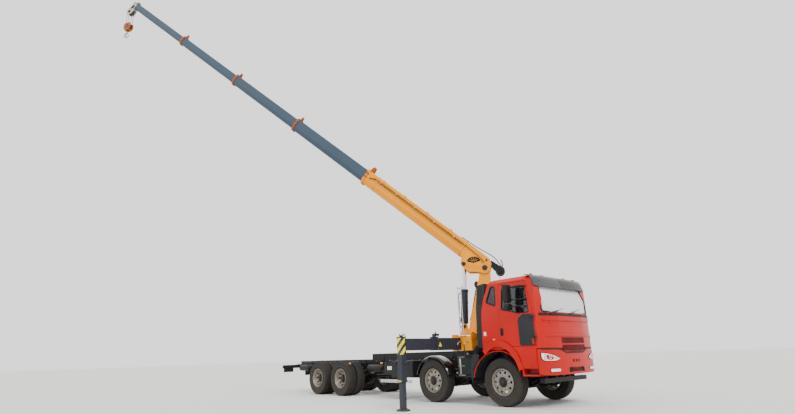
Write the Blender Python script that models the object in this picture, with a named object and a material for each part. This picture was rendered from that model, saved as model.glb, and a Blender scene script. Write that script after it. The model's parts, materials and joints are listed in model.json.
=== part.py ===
"""Truck-mounted telescopic crane on an 8x4 cab-over chassis, as an assembly of closed solids.

Metres, +Z up, +X towards the front of the lorry, +Y to its left. Everything is first laid out from the
point on the ground below the middle of the first axle; the finished assembly is then shifted so that
the origin lies at the bottom centre of its box.
"""

import math

import bmesh
import bpy
from mathutils import Matrix, Vector

# ---------------------------------------------------------------- clearances
SEAT_GAP = 0.0003          # between two pieces that rest on each other
PIN_GAP = 0.0008           # radial, round a pin in its eye
SIDE_GAP = 0.0008          # between an eye and the cheeks beside it
RUN_GAP = 0.006            # between pieces that move past each other

# ---------------------------------------------------------------- running gear
AXLE_1_TO_2 = 2.25
AXLE_2_TO_3 = 4.20
AXLE_3_TO_4 = 1.35
TYRE_RADIUS = 0.54
TYRE_WIDTH = 0.30
RIM_RADIUS = 0.295
FRONT_TRACK = 2.09
TWIN_TRACK = 1.86
TWIN_SPACING = 0.345
KINGPIN_TO_WHEEL = 0.145
KINGPIN_RADIUS = 0.024
KINGPIN_STEPS = 24          # its corners then clear the eye's flats at any angle
SPINDLE_RADIUS = 0.045
WHEEL_STEPS = 18
STUB_REACH = 0.10
SPINDLE_REACH = 0.07
HUB_INNER = 0.044
AXLE_TUBE = 0.085
DRUM_RADIUS = 0.20
DRUM_WIDTH = 0.20
SPRING_Y = 0.505           # of the bogie's springs

# ---------------------------------------------------------------- frame
RAIL_REAR = -10.26
RAIL_FRONT = 0.98
RAIL_TOP = 1.10
RAIL_HEIGHT = 0.28
RAIL_OUTSIDE = 0.43        # half the width over the rails
RAIL_FLANGE = 0.08
RAIL_WALL = 0.010
CROSSMEMBERS = (0.80, -1.55, -2.95, -4.10, -5.60, -7.125, -8.70, -10.16)
CROSSMEMBER_WIDTH = 0.12
CROSSMEMBER_HEIGHT = 0.16
SUB_REAR = -5.74
SUB_FRONT = -0.98
SUB_HEIGHT = 0.18
SUB_WIDTH = 0.09

# ---------------------------------------------------------------- cab
CAB_HALF_WIDTH = 1.23
CAB_FRONT = 1.27
CAB_REAR = -0.46
CAB_FLOOR = 1.27
CAB_ROOF = 2.93
CAB_WALL = 0.045
PANE = 0.006
PANE_SEAT = 0.020
DOOR_REAR = 0.08
DOOR_FRONT = 1.03
DOOR_SILL = 1.33
CAB_BELT = 2.03            # above it the sides lean in
CAB_LEAN = 0.07
CAB_MOUNTS = (0.80, -0.38)
SCREEN_FOOT_Z, SCREEN_FOOT_HALF = 2.07, 1.06
SCREEN_TOP_Z, SCREEN_TOP_HALF, SCREEN_TOP_X = 2.76, 0.93, 1.04
ARCH_X, ARCH_Z = 0.70, 0.96          # half axes of the wheel arch's outer edge
HINGE_X, HINGE_Y = 1.046, 1.245
HINGE_Z = (1.52, 1.96)
HINGE_PIN = 0.009
HINGE_LUG = 0.020
MIRROR_X = 0.52
MIRROR_Z = (2.32, 2.72)
MIRROR_STAND = 0.10
BUMPER_BOTTOM = 0.69
BUMPER_WALL = 0.05
UNDERRUN_Z = 0.57
UNDERRUN_HALF = 0.95
REAR_BAR_HALF = 1.22
GEARBOX_REAR = -1.35

BUMPER_BACK = 1.026
VISOR_HALF = 1.16
VISOR_REACH = 0.30
DRIVER_Y = 0.62
FLARE_STAND = 0.035
LINER_FRONT, LINER_REAR, LINER_HEIGHT = 0.66, 0.80, 0.715
LINER_WALL = 0.02
STEP_REAR, STEP_FRONT, STEP_BOTTOM = 0.62, 1.02, 0.68
GUARD_INNER = 0.87
GUARD_RADIUS = 0.635

# ---------------------------------------------------------------- boxes on the chassis
FUEL_TANK_X = (-4.60, -3.20)
BATTERY_X = (-3.95, -3.05)
OIL_TANK_X = (-1.56, -0.83)
OIL_TANK_Z = (0.62, 1.18)
OIL_TANK_OUT = 0.94
LADDER_X = (-1.28, -1.06)
LADDER_Y = 1.22
LADDER_Z = (0.64, 1.42)

# ---------------------------------------------------------------- outriggers
HOUSING_REAR, HOUSING_FRONT = -1.645, -0.985
HOUSING_HALF = 1.01
HOUSING_HEIGHT = 0.36
HOUSING_FLOOR = 0.022
OUTRIGGER_X = {"right": -1.47, "left": -1.16}
BEAM_WIDTH = 0.24
BEAM_HEIGHT = 0.30
BEAM_WALL = 0.010
BEAM_REACH = 3.00          # jack from the centre line
FIRST_STAGE_END = 1.90
FIRST_STAGE_TRAVEL = 0.83
COLLAR_WIDTH = 0.045
ARM_LENGTH = 1.50
JACK_TUBE_X, JACK_TUBE_Y = 0.155, 0.155
JACK_TUBE_BOTTOM = 0.62
JACK_LEG = 0.12
JACK_OVERLAP = 0.42
FOOT_RADIUS = 0.16

# ---------------------------------------------------------------- column and lifting cylinder
CRANE_X = -1.38            # slewing axis
SLEW_DEG = 215.0           # where the boom points, from +X
LUFF_DEG = 41.5            # boom above the horizon
TURNTABLE_RADIUS = 0.32
COLUMN_HALF_WIDTH = 0.150
PIVOT_S, PIVOT_Z = -0.204, 3.52      # boom pin, from the slewing axis and the ground
HEAD_RADIUS = 0.14
EYE_S, EYE_Z = 0.496, 1.93           # lower pin of the lifting cylinder
EYE_HALF = 0.06
ROD_PIN_X, ROD_PIN_Z = 0.541, -0.28  # upper pin, along and across the boom
LIFT_BORE_RADIUS = 0.10
LIFT_ROD_RADIUS = 0.062
LIFT_BARREL_LENGTH = 1.03
LIFT_ROD_LENGTH = 1.16
BOOM_PIN_RADIUS = 0.045
LIFT_PIN_RADIUS = 0.038

# ---------------------------------------------------------------- boom
BOOM_AXIS = 0.07           # centre line of the tubes above the boom pin
BASE_START, BASE_END = 0.26, 4.80
BOOM_STEP = 3.36           # what each section sticks out of the one before
BOOM_LAP = 0.70
BOOM_HEIGHTS = (0.46, 0.41, 0.36, 0.315, 0.27)
BOOM_WIDTHS = (0.34, 0.298, 0.256, 0.217, 0.178)
BOOM_WALL = 0.008
COLLAR = 0.06
WINCH_PLACE = (-0.38, 0.20)
SHEAVE_RADIUS = 0.12
SHEAVE_DROP = 0.29
SHEAVE_PLACES = (-0.04, 0.04)
HOOK_DROP = 0.72           # head sheave centre to block centre
ROPE_RADIUS = 0.008

HUB_Z = TYRE_RADIUS
AXLE_X = (0.0, -AXLE_1_TO_2, -AXLE_1_TO_2 - AXLE_2_TO_3,
          -AXLE_1_TO_2 - AXLE_2_TO_3 - AXLE_3_TO_4)
RAIL_BOTTOM = RAIL_TOP - RAIL_HEIGHT
SUB_TOP = RAIL_TOP + SEAT_GAP + SUB_HEIGHT
HOUSING_BOTTOM = SUB_TOP + SEAT_GAP
HOUSING_TOP = HOUSING_BOTTOM + HOUSING_HEIGHT
TURNTABLE_TOP = HOUSING_TOP + 0.06
KINGPIN_Y = FRONT_TRACK / 2 - KINGPIN_TO_WHEEL
HOUSING_ROOF = HOUSING_HEIGHT - HOUSING_FLOOR - BEAM_HEIGHT

COLOURS = {
    "red_paint": ((0.72, 0.03, 0.01), 0.3, 0.0),
    "yellow_paint": ((0.85, 0.48, 0.02), 0.35, 0.0),
    "grey_paint": ((0.10, 0.13, 0.16), 0.4, 0.0),
    "blue_grey_paint": ((0.18, 0.25, 0.32), 0.4, 0.0),
    "orange_paint": ((0.75, 0.25, 0.02), 0.4, 0.0),
    "frame_black": ((0.02, 0.02, 0.02), 0.5, 0.0),
    "tyre_rubber": ((0.03, 0.03, 0.03), 0.85, 0.0),
    "trim_plastic": ((0.04, 0.045, 0.05), 0.6, 0.0),
    "glass": ((0.6, 0.7, 0.72), 0.05, 0.0),
    "chrome_rod": ((0.8, 0.8, 0.8), 0.1, 1.0),
    "seat_cloth": ((0.12, 0.12, 0.13), 0.9, 0.0),
    "cast_iron": ((0.12, 0.11, 0.10), 0.6, 0.3),
}


# ---------------------------------------------------------------- building blocks
def start_clean():
    for obj in list(bpy.data.objects):
        bpy.data.objects.remove(obj)


def material(name):
    """The named finish, made once."""
    found = bpy.data.materials.get(name)
    if found:
        return found
    colour, roughness, metallic = COLOURS[name]
    made = bpy.data.materials.new(name)
    made.use_nodes = True
    shader = made.node_tree.nodes["Principled BSDF"]
    shader.inputs["Base Color"].default_value = (*colour, 1.0)
    shader.inputs["Roughness"].default_value = roughness
    shader.inputs["Metallic"].default_value = metallic
    return made


def in_space(axis, u, v, w):
    """A point from two outline coordinates and one along the axis."""
    return {"X": (w, u, v), "Y": (u, w, v), "Z": (u, v, w)}[axis]


def prism(outline, axis, low, high):
    """A closed outline carried along X (y, z), Y (x, z) or Z (x, y)."""
    bm = bmesh.new()
    rings = [[bm.verts.new(in_space(axis, u, v, w)) for u, v in outline] for w in (low, high)]
    bm.faces.new(rings[0])
    bm.faces.new(rings[1])
    count = len(outline)
    for i in range(count):
        j = (i + 1) % count
        bm.faces.new((rings[0][i], rings[0][j], rings[1][j], rings[1][i]))
    bmesh.ops.recalc_face_normals(bm, faces=bm.faces)
    return bm


def box(low, high):
    (x0, y0, z0), (x1, y1, z1) = low, high
    return prism([(x0, y0), (x1, y0), (x1, y1), (x0, y1)], "Z", z0, z1)


def turned(profile, axis, centre, steps):
    """A closed profile of (radius, place along the axis) swung right round it."""
    bm = bmesh.new()
    count = len(profile)
    rings = []
    for step in range(steps):
        angle = 2 * math.pi * (step + 0.5) / steps
        ring = []
        for i, (radius, along) in enumerate(profile):
            if radius == 0.0 and rings:
                ring.append(rings[0][i])
            else:
                u, v = radius * math.cos(angle), radius * math.sin(angle)
                ring.append(bm.verts.new(Vector(in_space(axis, u, v, along)) + Vector(centre)))
        rings.append(ring)
    for step in range(steps):
        here, there = rings[step], rings[(step + 1) % steps]
        for i in range(count):
            j = (i + 1) % count
            corners = []
            for vert in (here[i], here[j], there[j], there[i]):
                if vert not in corners:
                    corners.append(vert)
            if len(corners) > 2:
                bm.faces.new(corners)
    bmesh.ops.recalc_face_normals(bm, faces=bm.faces)
    return bm


def disc(axis, centre, radius, low, high, steps=16):
    """A solid cylinder along an axis, from low to high measured from its centre."""
    outline = [(radius * math.cos(a), radius * math.sin(a))
               for a in (2 * math.pi * (i + 0.5) / steps for i in range(steps))]
    bm = prism(outline, axis, low, high)
    bmesh.ops.translate(bm, vec=Vector(centre), verts=bm.verts)
    return bm


def bar(start, end, radius, sides=8):
    """A round bar between two points."""
    start, end = Vector(start), Vector(end)
    outline = [(radius * math.cos(a), radius * math.sin(a))
               for a in (2 * math.pi * (i + 0.5) / sides for i in range(sides))]
    bm = prism(outline, "Z", 0.0, (end - start).length)
    turn = (end - start).to_track_quat("Z", "Y").to_matrix().to_4x4()
    bmesh.ops.transform(bm, matrix=Matrix.Translation(start) @ turn, verts=bm.verts)
    return bm


def arc(centre, radii, start_deg, end_deg, steps):
    """Points on an ellipse, from one angle to another."""
    made = []
    for i in range(steps + 1):
        a = math.radians(start_deg + (end_deg - start_deg) * i / steps)
        made.append((centre[0] + radii[0] * math.cos(a), centre[1] + radii[1] * math.sin(a)))
    return made


def link(obj, collection, parent):
    collection.objects.link(obj)
    obj.parent = parent
    return obj


def empty(name, parent, place=(0, 0, 0), turn=(0, 0, 0)):
    made = bpy.data.objects.new(name, None)
    made.location = place
    made.rotation_euler = turn
    return link(made, bpy.context.scene.collection, parent)


def mesh_object(name, bm, parent, collection):
    mesh = bpy.data.meshes.new(name)
    bm.to_mesh(mesh)
    bm.free()
    return link(bpy.data.objects.new(name, mesh), collection, parent)


def hidden_collection(name):
    """A collection for shapes that only a Boolean reads."""
    made = bpy.data.collections.new(name)
    made.hide_render = True
    bpy.context.scene.collection.children.link(made)
    return made


def as_helper(obj):
    obj.display_type = "WIRE"
    obj.hide_render = True
    return obj


def add_boolean(node, label, operation, operands, parent):
    """One Boolean step with a made helper, or with a collection of fresh shapes."""
    modifier = node.modifiers.new(label, "BOOLEAN")
    modifier.operation = operation
    modifier.solver = "EXACT"
    if isinstance(operands, bpy.types.Object):
        modifier.object = operands
        return
    members = hidden_collection(f"{node.name}_{label}")
    for number, shape in enumerate(operands):
        as_helper(mesh_object(f"{node.name}_{label}_{number}", shape, parent, members))
    modifier.operand_type = "COLLECTION"
    modifier.collection = members


def form(name, parent, shapes, steps, collection):
    """Shapes joined into one, then put through further Boolean steps in turn."""
    node = mesh_object(name, shapes[0], parent, collection)
    if shapes[1:]:
        add_boolean(node, "joined", "UNION", shapes[1:], parent)
    for number, (operation, operands) in enumerate(steps):
        add_boolean(node, f"step{number}", operation, operands, parent)
    return node


def solid(name, finish, parent, shapes, cuts=(), steps=()):
    """One node of the assembly: joined shapes, less the cuts, with any further steps."""
    steps = list(steps) + ([("DIFFERENCE", list(cuts))] if cuts else [])
    node = form(name, parent, shapes, steps, bpy.context.scene.collection)
    node.data.materials.append(material(finish))
    return node


def both_sides():
    return (("right", -1), ("left", 1))


def span(side, near, far):
    """A stretch of the width as (low, high), measured outwards on one side."""
    return tuple(sorted((side * near, side * far)))


def side_box(side, x, y, z):
    """A box on one side: its y stretch is measured outwards."""
    low, high = span(side, *y)
    return box((x[0], low, z[0]), (x[1], high, z[1]))


# ---------------------------------------------------------------- frame and axles
def make_frame(root):
    shapes = []
    for _, side in both_sides():
        outer, inner = side * RAIL_OUTSIDE, side * (RAIL_OUTSIDE - RAIL_FLANGE)
        web = side * (RAIL_OUTSIDE - RAIL_WALL)
        low, high = RAIL_BOTTOM, RAIL_TOP
        outline = [(outer, low), (outer, high), (inner, high), (inner, high - RAIL_WALL),
                   (web, high - RAIL_WALL), (web, low + RAIL_WALL), (inner, low + RAIL_WALL), (inner, low)]
        shapes.append(prism(outline, "X", RAIL_REAR, RAIL_FRONT))
        for x in CAB_MOUNTS:
            shapes.append(side_box(side, (x - 0.05, x + 0.05), (RAIL_OUTSIDE - RAIL_FLANGE, RAIL_OUTSIDE - 0.005),
                                   (RAIL_TOP - RAIL_WALL / 2, CAB_FLOOR - SEAT_GAP)))
        shapes.append(side_box(side, (RAIL_FRONT - 0.10, RAIL_FRONT - 0.02),
                               (RAIL_OUTSIDE - 0.06, RAIL_OUTSIDE - 0.005), (UNDERRUN_Z, RAIL_BOTTOM + 0.02)))
    shapes.append(box((RAIL_FRONT - 0.12, -UNDERRUN_HALF, UNDERRUN_Z - 0.05),
                      (RAIL_FRONT, UNDERRUN_HALF, UNDERRUN_Z + 0.05)))
    middle = (RAIL_TOP + RAIL_BOTTOM) / 2
    for x in CROSSMEMBERS:
        half, reach = CROSSMEMBER_WIDTH / 2, RAIL_OUTSIDE - RAIL_WALL / 2
        shapes.append(box((x - half, -reach, middle - CROSSMEMBER_HEIGHT / 2),
                          (x + half, reach, middle + CROSSMEMBER_HEIGHT / 2)))
    solid("chassis_frame", "frame_black", root, shapes)

    low, high = RAIL_TOP + SEAT_GAP, SUB_TOP
    shapes = [side_box(side, (SUB_REAR, SUB_FRONT), (RAIL_OUTSIDE - SUB_WIDTH, RAIL_OUTSIDE), (low, high))
              for _, side in both_sides()]
    reach = RAIL_OUTSIDE - SUB_WIDTH / 2
    for x in (SUB_REAR + 0.25, (SUB_REAR + HOUSING_REAR) / 2, HOUSING_REAR + 0.05, HOUSING_FRONT - 0.15):
        shapes.append(box((x - 0.05, -reach, low + 0.03), (x + 0.05, reach, high - 0.03)))
    solid("sub_frame", "frame_black", root, shapes)

    bar_front = RAIL_REAR - SEAT_GAP
    shapes = [box((bar_front - 0.06, -REAR_BAR_HALF, RAIL_BOTTOM + 0.03),
                  (bar_front, REAR_BAR_HALF, RAIL_BOTTOM + 0.15))]
    for _, side in both_sides():
        shapes.append(side_box(side, (bar_front - 0.05, bar_front - 0.01),
                               (REAR_BAR_HALF - 0.45, REAR_BAR_HALF - 0.05), (RAIL_BOTTOM - 0.11, RAIL_BOTTOM + 0.05)))
    solid("rear_bar", "frame_black", root, shapes)


def make_front_axle(root, number, x):
    """Forged beam with a leaf spring on each side, hung from the rails."""
    eye = 0.042
    deck = HUB_Z + 0.02
    half = KINGPIN_Y
    outline = [(-half - eye, HUB_Z - 0.07), (-half + 0.10, HUB_Z - 0.07), (-half + 0.26, HUB_Z - 0.19),
               (half - 0.26, HUB_Z - 0.19), (half - 0.10, HUB_Z - 0.07), (half + eye, HUB_Z - 0.07),
               (half + eye, HUB_Z + 0.07), (half - 0.14, HUB_Z + 0.07), (half - 0.30, HUB_Z - 0.07),
               (-half + 0.30, HUB_Z - 0.07), (-half + 0.14, HUB_Z + 0.07), (-half - eye, HUB_Z + 0.07)]
    shapes = [prism(outline, "X", x - eye, x + eye)]
    for _, side in both_sides():
        y = side * (RAIL_OUTSIDE - RAIL_FLANGE / 2)
        spring = [(x - 0.78, deck + 0.14), (x - 0.35, deck + 0.05), (x + 0.35, deck + 0.05),
                  (x + 0.78, deck + 0.14), (x + 0.78, deck + 0.11), (x + 0.45, deck), (x + 0.16, deck - 0.12),
                  (x - 0.16, deck - 0.12), (x - 0.45, deck), (x - 0.78, deck + 0.11)]
        shapes.append(prism(spring, "Y", y - 0.038, y + 0.038))
        for end in (-1, 1):
            place = x + end * 0.73
            hanger = [(place - 0.04, deck + 0.11), (place + 0.04, deck + 0.11),
                      (place + 0.08, RAIL_BOTTOM - SEAT_GAP), (place - 0.08, RAIL_BOTTOM - SEAT_GAP)]
            shapes.append(prism(hanger, "Y", y - 0.035, y + 0.035))
    cuts = [disc("Z", (x, side * half, HUB_Z), KINGPIN_RADIUS + PIN_GAP, -0.2, 0.2, KINGPIN_STEPS)
            for side in (-1, 1)]
    solid(f"front_axle_{number}", "frame_black", root, shapes, cuts)


def make_rear_axle(root, number, x):
    """Banjo housing with brake drums and the stubs that carry the twin wheels."""
    drum = TWIN_TRACK / 2 - HUB_INNER - RUN_GAP
    stub = TWIN_TRACK / 2 + STUB_REACH
    shapes = [disc("Y", (x, 0, HUB_Z), AXLE_TUBE, -drum + 0.1, drum - 0.1, 12),
              disc("Y", (x, 0, HUB_Z), 0.22, -0.13, 0.13, 14),
              disc("X", (x, 0, HUB_Z + 0.02), 0.13, 0.10, 0.34, 12),
              disc("Y", (x, 0, HUB_Z), SPINDLE_RADIUS, -stub, stub, 12)]
    for _, side in both_sides():
        shapes.append(disc("Y", (x, 0, HUB_Z), DRUM_RADIUS, *span(side, drum - DRUM_WIDTH, drum), 14))
        shapes.append(side_box(side, (x - 0.07, x + 0.07), (SPRING_Y - 0.05, SPRING_Y + 0.05),
                               (HUB_Z, HUB_Z + AXLE_TUBE)))
    solid(f"rear_axle_{number}", "frame_black", root, shapes)


def make_bogie(root):
    """Leaf springs that rest on both rear axles and turn on a shaft under the frame."""
    centre = (AXLE_X[2] + AXLE_X[3]) / 2
    reach = AXLE_3_TO_4 / 2
    top = HUB_Z + AXLE_TUBE + SEAT_GAP
    shapes = [disc("Y", (centre, 0, HUB_Z - 0.02), 0.06, -0.56, 0.56, 12)]
    for _, side in both_sides():
        y = side * SPRING_Y
        spring = [(centre - reach - 0.10, top), (centre - reach + 0.10, top), (centre - 0.15, top - 0.06),
                  (centre + 0.15, top - 0.06), (centre + reach - 0.10, top), (centre + reach + 0.10, top),
                  (centre + reach + 0.10, top + 0.03), (centre + 0.25, top + 0.13), (centre - 0.25, top + 0.13),
                  (centre - reach - 0.10, top + 0.03)]
        shapes.append(prism(spring, "Y", y - 0.04, y + 0.04))
        shapes.append(prism([(centre - 0.10, HUB_Z - 0.06), (centre + 0.10, HUB_Z - 0.06),
                             (centre + 0.13, top), (centre - 0.13, top)], "Y", y - 0.045, y + 0.045))
        plate = side * (RAIL_OUTSIDE - RAIL_FLANGE / 2)
        shapes.append(prism([(centre - 0.08, HUB_Z - 0.07), (centre + 0.08, HUB_Z - 0.07),
                             (centre + 0.20, RAIL_BOTTOM - SEAT_GAP), (centre - 0.20, RAIL_BOTTOM - SEAT_GAP)],
                            "Y", plate - 0.02, plate + 0.02))
    solid("bogie_suspension", "frame_black", root, shapes)


def make_driveline(root):
    low = HUB_Z + 0.12
    flange = RAIL_BOTTOM + RAIL_WALL + SEAT_GAP
    shapes = [box((-0.62, -0.33, low), (0.52, 0.33, CAB_FLOOR - 0.05)),
              box((GEARBOX_REAR, -0.22, low + 0.04), (-0.60, 0.22, RAIL_TOP - 0.06))]
    for _, side in both_sides():
        shapes.append(side_box(side, (-0.30, -0.16), (0.30, RAIL_OUTSIDE - RAIL_WALL - SEAT_GAP),
                               (flange, flange + 0.10)))
    solid("engine", "cast_iron", root, shapes)
    rear = AXLE_X[2] + 0.34 + SEAT_GAP
    front = GEARBOX_REAR - SEAT_GAP
    solid("propeller_shaft", "frame_black", root,
          [bar((rear + 0.02, 0, HUB_Z + 0.02), (front - 0.02, 0, HUB_Z + 0.27), 0.055, 12),
           disc("X", (0, 0, HUB_Z + 0.02), 0.08, rear, rear + 0.04, 12),
           disc("X", (0, 0, HUB_Z + 0.27), 0.08, front - 0.04, front, 12)])


# ---------------------------------------------------------------- wheels
def half_tyre(outer):
    """Side of a tyre from bead to tread, as (radius, place), on the + or - side."""
    half = outer * TYRE_WIDTH / 2
    return [(RIM_RADIUS, half * 0.83), (TYRE_RADIUS * 0.81, half), (TYRE_RADIUS, half * 0.74)]


def wheel(name, parent, side, profile):
    solid(name, "tyre_rubber", parent,
          [turned([(r, side * t) for r, t in profile], "Y", (0, 0, 0), WHEEL_STEPS)])


def single_wheel(name, parent, side):
    """Steered wheel: the disc is near the outer face. Its bore takes the spindle."""
    bore = SPINDLE_RADIUS + PIN_GAP
    profile = [(bore, -HUB_INNER), (bore, SPINDLE_REACH + RUN_GAP), (0.0, SPINDLE_REACH + RUN_GAP), (0.0, 0.165),
               (0.10, 0.165), (0.11, 0.075), (0.25, 0.045)]
    profile += half_tyre(1) + list(reversed(half_tyre(-1)))
    profile += [(0.25, 0.02), (0.13, 0.045), (0.13, -HUB_INNER)]
    wheel(name, parent, side, profile)


def twin_wheel(name, parent, side):
    """Two tyres on one hub. The outer disc is set deep inside."""
    bore = SPINDLE_RADIUS + PIN_GAP
    half = TWIN_SPACING / 2
    end = STUB_REACH + RUN_GAP
    outer = [(r, half + t) for r, t in half_tyre(1) + list(reversed(half_tyre(-1)))]
    inner = [(r, t - 2 * half) for r, t in outer]
    profile = [(bore, -HUB_INNER), (bore, end), (0.0, end), (0.0, end + 0.05), (0.12, end + 0.03), (0.13, 0.02),
               (0.25, 0.02)]
    profile += outer + [(0.27, 0.0)] + inner + [(0.25, -0.02), (0.13, -0.02), (0.13, -HUB_INNER)]
    wheel(name, parent, side, profile)


def make_knuckle(name, parent, side):
    """Fork round the end of the axle beam, with the spindle that carries the wheel."""
    face = KINGPIN_TO_WHEEL - HUB_INNER - RUN_GAP
    shapes = [side_box(side, (-0.05, 0.05), (-0.05, face), (0.076, 0.125)),
              side_box(side, (-0.05, 0.05), (-0.05, face), (-0.125, -0.076)),
              disc("Y", (0, 0, 0), 0.17, *span(side, 0.066, face), 12),
              disc("Z", (0, 0, 0), KINGPIN_RADIUS, -0.13, 0.13, KINGPIN_STEPS),
              disc("Y", (0, 0, 0), SPINDLE_RADIUS, *span(side, 0.08, KINGPIN_TO_WHEEL + SPINDLE_REACH), 12)]
    solid(name, "cast_iron", parent, shapes)


def make_running_gear(root):
    for number, x in enumerate(AXLE_X[:2], 1):
        make_front_axle(root, number, x)
        for label, side in both_sides():
            steer = empty(f"steer_{number}_{label}", root, (x, side * KINGPIN_Y, HUB_Z))
            make_knuckle(f"steering_knuckle_{number}_{label}", steer, side)
            hub = empty(f"hub_{number}_{label}", steer, (0, side * KINGPIN_TO_WHEEL, 0))
            single_wheel(f"front_wheel_{number}_{label}", hub, side)
    for number, x in enumerate(AXLE_X[2:], 3):
        make_rear_axle(root, number, x)
        for label, side in both_sides():
            hub = empty(f"hub_{number}_{label}", root, (x, side * TWIN_TRACK / 2, HUB_Z))
            twin_wheel(f"rear_wheels_{number}_{label}", hub, side)
    make_bogie(root)


# ---------------------------------------------------------------- cab
def cab_side(inset):
    """The cab seen from its side, as (x, z), drawn in by the wall's thickness."""
    i = inset
    return [(CAB_REAR + i, CAB_FLOOR + i), (CAB_REAR + 0.03 + i, 2.20), (CAB_REAR + 0.10 + i, 2.50),
            (CAB_REAR + 0.26 + i, CAB_ROOF - 0.05 - i), (CAB_REAR + 0.36 + i, CAB_ROOF - i),
            (SCREEN_TOP_X - 0.06 - i, CAB_ROOF - i), (SCREEN_TOP_X - i, SCREEN_TOP_Z + 0.05 - i),
            (CAB_FRONT - i, SCREEN_FOOT_Z - 0.05), (CAB_FRONT + 0.02 - i, 1.85), (CAB_FRONT + 0.02 - i, CAB_FLOOR + i)]


def cab_plan(inset):
    """The cab seen from above, as (x, y): straight sides and a bowed front."""
    half = CAB_HALF_WIDTH - inset
    front = CAB_FRONT + 0.02 - inset
    nose = [(front - 0.30, half), (front - 0.21, half - 0.03), (front - 0.10, half - 0.28), (front - 0.03, half - 0.70)]
    side = [(CAB_REAR - 0.5, half)] + nose
    return side + [(front, 0.0)] + [(x, -y) for x, y in reversed(side)]


def cab_front(inset):
    """The cab seen from the front, as (y, z): the sides lean in above the belt."""
    half, top = CAB_HALF_WIDTH - inset, CAB_HALF_WIDTH - CAB_LEAN - inset
    return [(-half, CAB_FLOOR - 0.2), (half, CAB_FLOOR - 0.2), (half, CAB_BELT), (top, CAB_ROOF - 0.09),
            (top - 0.10, CAB_ROOF + 0.02), (-top + 0.10, CAB_ROOF + 0.02), (-top, CAB_ROOF - 0.09), (-half, CAB_BELT)]


def cab_body(name, parent, inset):
    """The cab's outer or inner shape as a helper for what follows its walls."""
    wide, tall = CAB_HALF_WIDTH + 0.5, CAB_ROOF + 0.5
    steps = [("INTERSECT", [prism(cab_plan(inset), "Z", CAB_FLOOR - 0.5, tall)]),
             ("INTERSECT", [prism(cab_front(inset), "X", CAB_REAR - 0.5, CAB_FRONT + 0.5)])]
    return as_helper(form(name, parent, [prism(cab_side(inset), "Y", -wide, wide)], steps, hidden_collection(name)))


def door_outline(grow):
    """Edge of the door as (x, z), grown outwards by the running gap for its opening."""
    g = grow
    crown = arc((0.0, HUB_Z), (ARCH_X - g, ARCH_Z - g), 38, 82, 5)
    return ([(DOOR_FRONT + g, DOOR_SILL - g)] + [(max(x, DOOR_REAR - g), max(z, DOOR_SILL - g)) for x, z in crown]
            + [(DOOR_REAR - g, 2.70), (DOOR_REAR + 0.06 - g, 2.80 + g), (0.86 + g, 2.80 + g), (DOOR_FRONT + g, 2.04)])


def door_window(inset):
    i = inset
    return [(0.17 + i, 2.20 + i), (0.64, 2.07 + i), (0.93 - i, 2.07 + i), (0.84 - i, 2.70 - i), (0.20 + i, 2.70 - i)]


def quarter_window():
    return [(-0.29, 2.40), (0.00, 2.28), (0.00, 2.76), (-0.13, 2.78)]


def windscreen_outline(inset):
    """The windscreen opening seen from the front, as (y, z)."""
    foot, top = SCREEN_FOOT_HALF - inset, SCREEN_TOP_HALF - inset
    low, high = SCREEN_FOOT_Z + inset, SCREEN_TOP_Z - inset
    return [(-foot, low), (foot, low), (top, high), (-top, high)]


def hinge_pins(side):
    """Places of the two hinge pins of a door."""
    return [(HINGE_X, side * HINGE_Y, z) for z in HINGE_Z]


def make_cab(root):
    wide = CAB_HALF_WIDTH + 0.5
    outer = cab_body("cab_outside", root, 0.0)
    inner = cab_body("cab_inside", root, CAB_WALL)
    pane_out = cab_body("pane_outside", root, PANE_SEAT)
    pane_in = cab_body("pane_inside", root, PANE_SEAT + PANE)
    ahead = (0.7, CAB_FRONT + 0.5)

    shapes = [prism(cab_side(0.0), "Y", -wide, wide)]
    openings = [prism(windscreen_outline(0.0), "X", *ahead), prism(door_outline(RUN_GAP), "Y", -wide, wide),
                prism(quarter_window(), "Y", -wide, wide)]
    lugs = []
    for _, side in both_sides():
        for place in hinge_pins(side):
            for low, high in ((-0.050, -0.020 - SIDE_GAP), (0.020 + SIDE_GAP, 0.050)):
                lugs.append(disc("Z", place, HINGE_LUG, low, high, 12))
                inward = side_box(side, (HINGE_X - 0.004, HINGE_X + 0.018), (HINGE_Y - 0.070, HINGE_Y),
                                  (place[2] + low, place[2] + high))
                lugs.append(inward)
            lugs.append(disc("Z", place, HINGE_PIN, -0.045, 0.045, 12))
    solid("cab_shell", "red_paint", root, shapes,
          steps=[("INTERSECT", outer), ("DIFFERENCE", inner), ("DIFFERENCE", openings), ("UNION", lugs)])
    solid("windscreen", "glass", root, [prism(windscreen_outline(SEAT_GAP), "X", *ahead)],
          steps=[("INTERSECT", pane_out), ("DIFFERENCE", pane_in)])

    make_front(root, outer)
    for label, side in both_sides():
        hinge = empty(f"door_hinge_{label}", root, (HINGE_X, side * HINGE_Y, 0))
        base = (-HINGE_X, -side * HINGE_Y, 0)
        make_door(hinge, base, label, side, outer, inner)


def moved(bm, offset):
    bmesh.ops.translate(bm, vec=Vector(offset), verts=bm.verts)
    return bm


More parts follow.
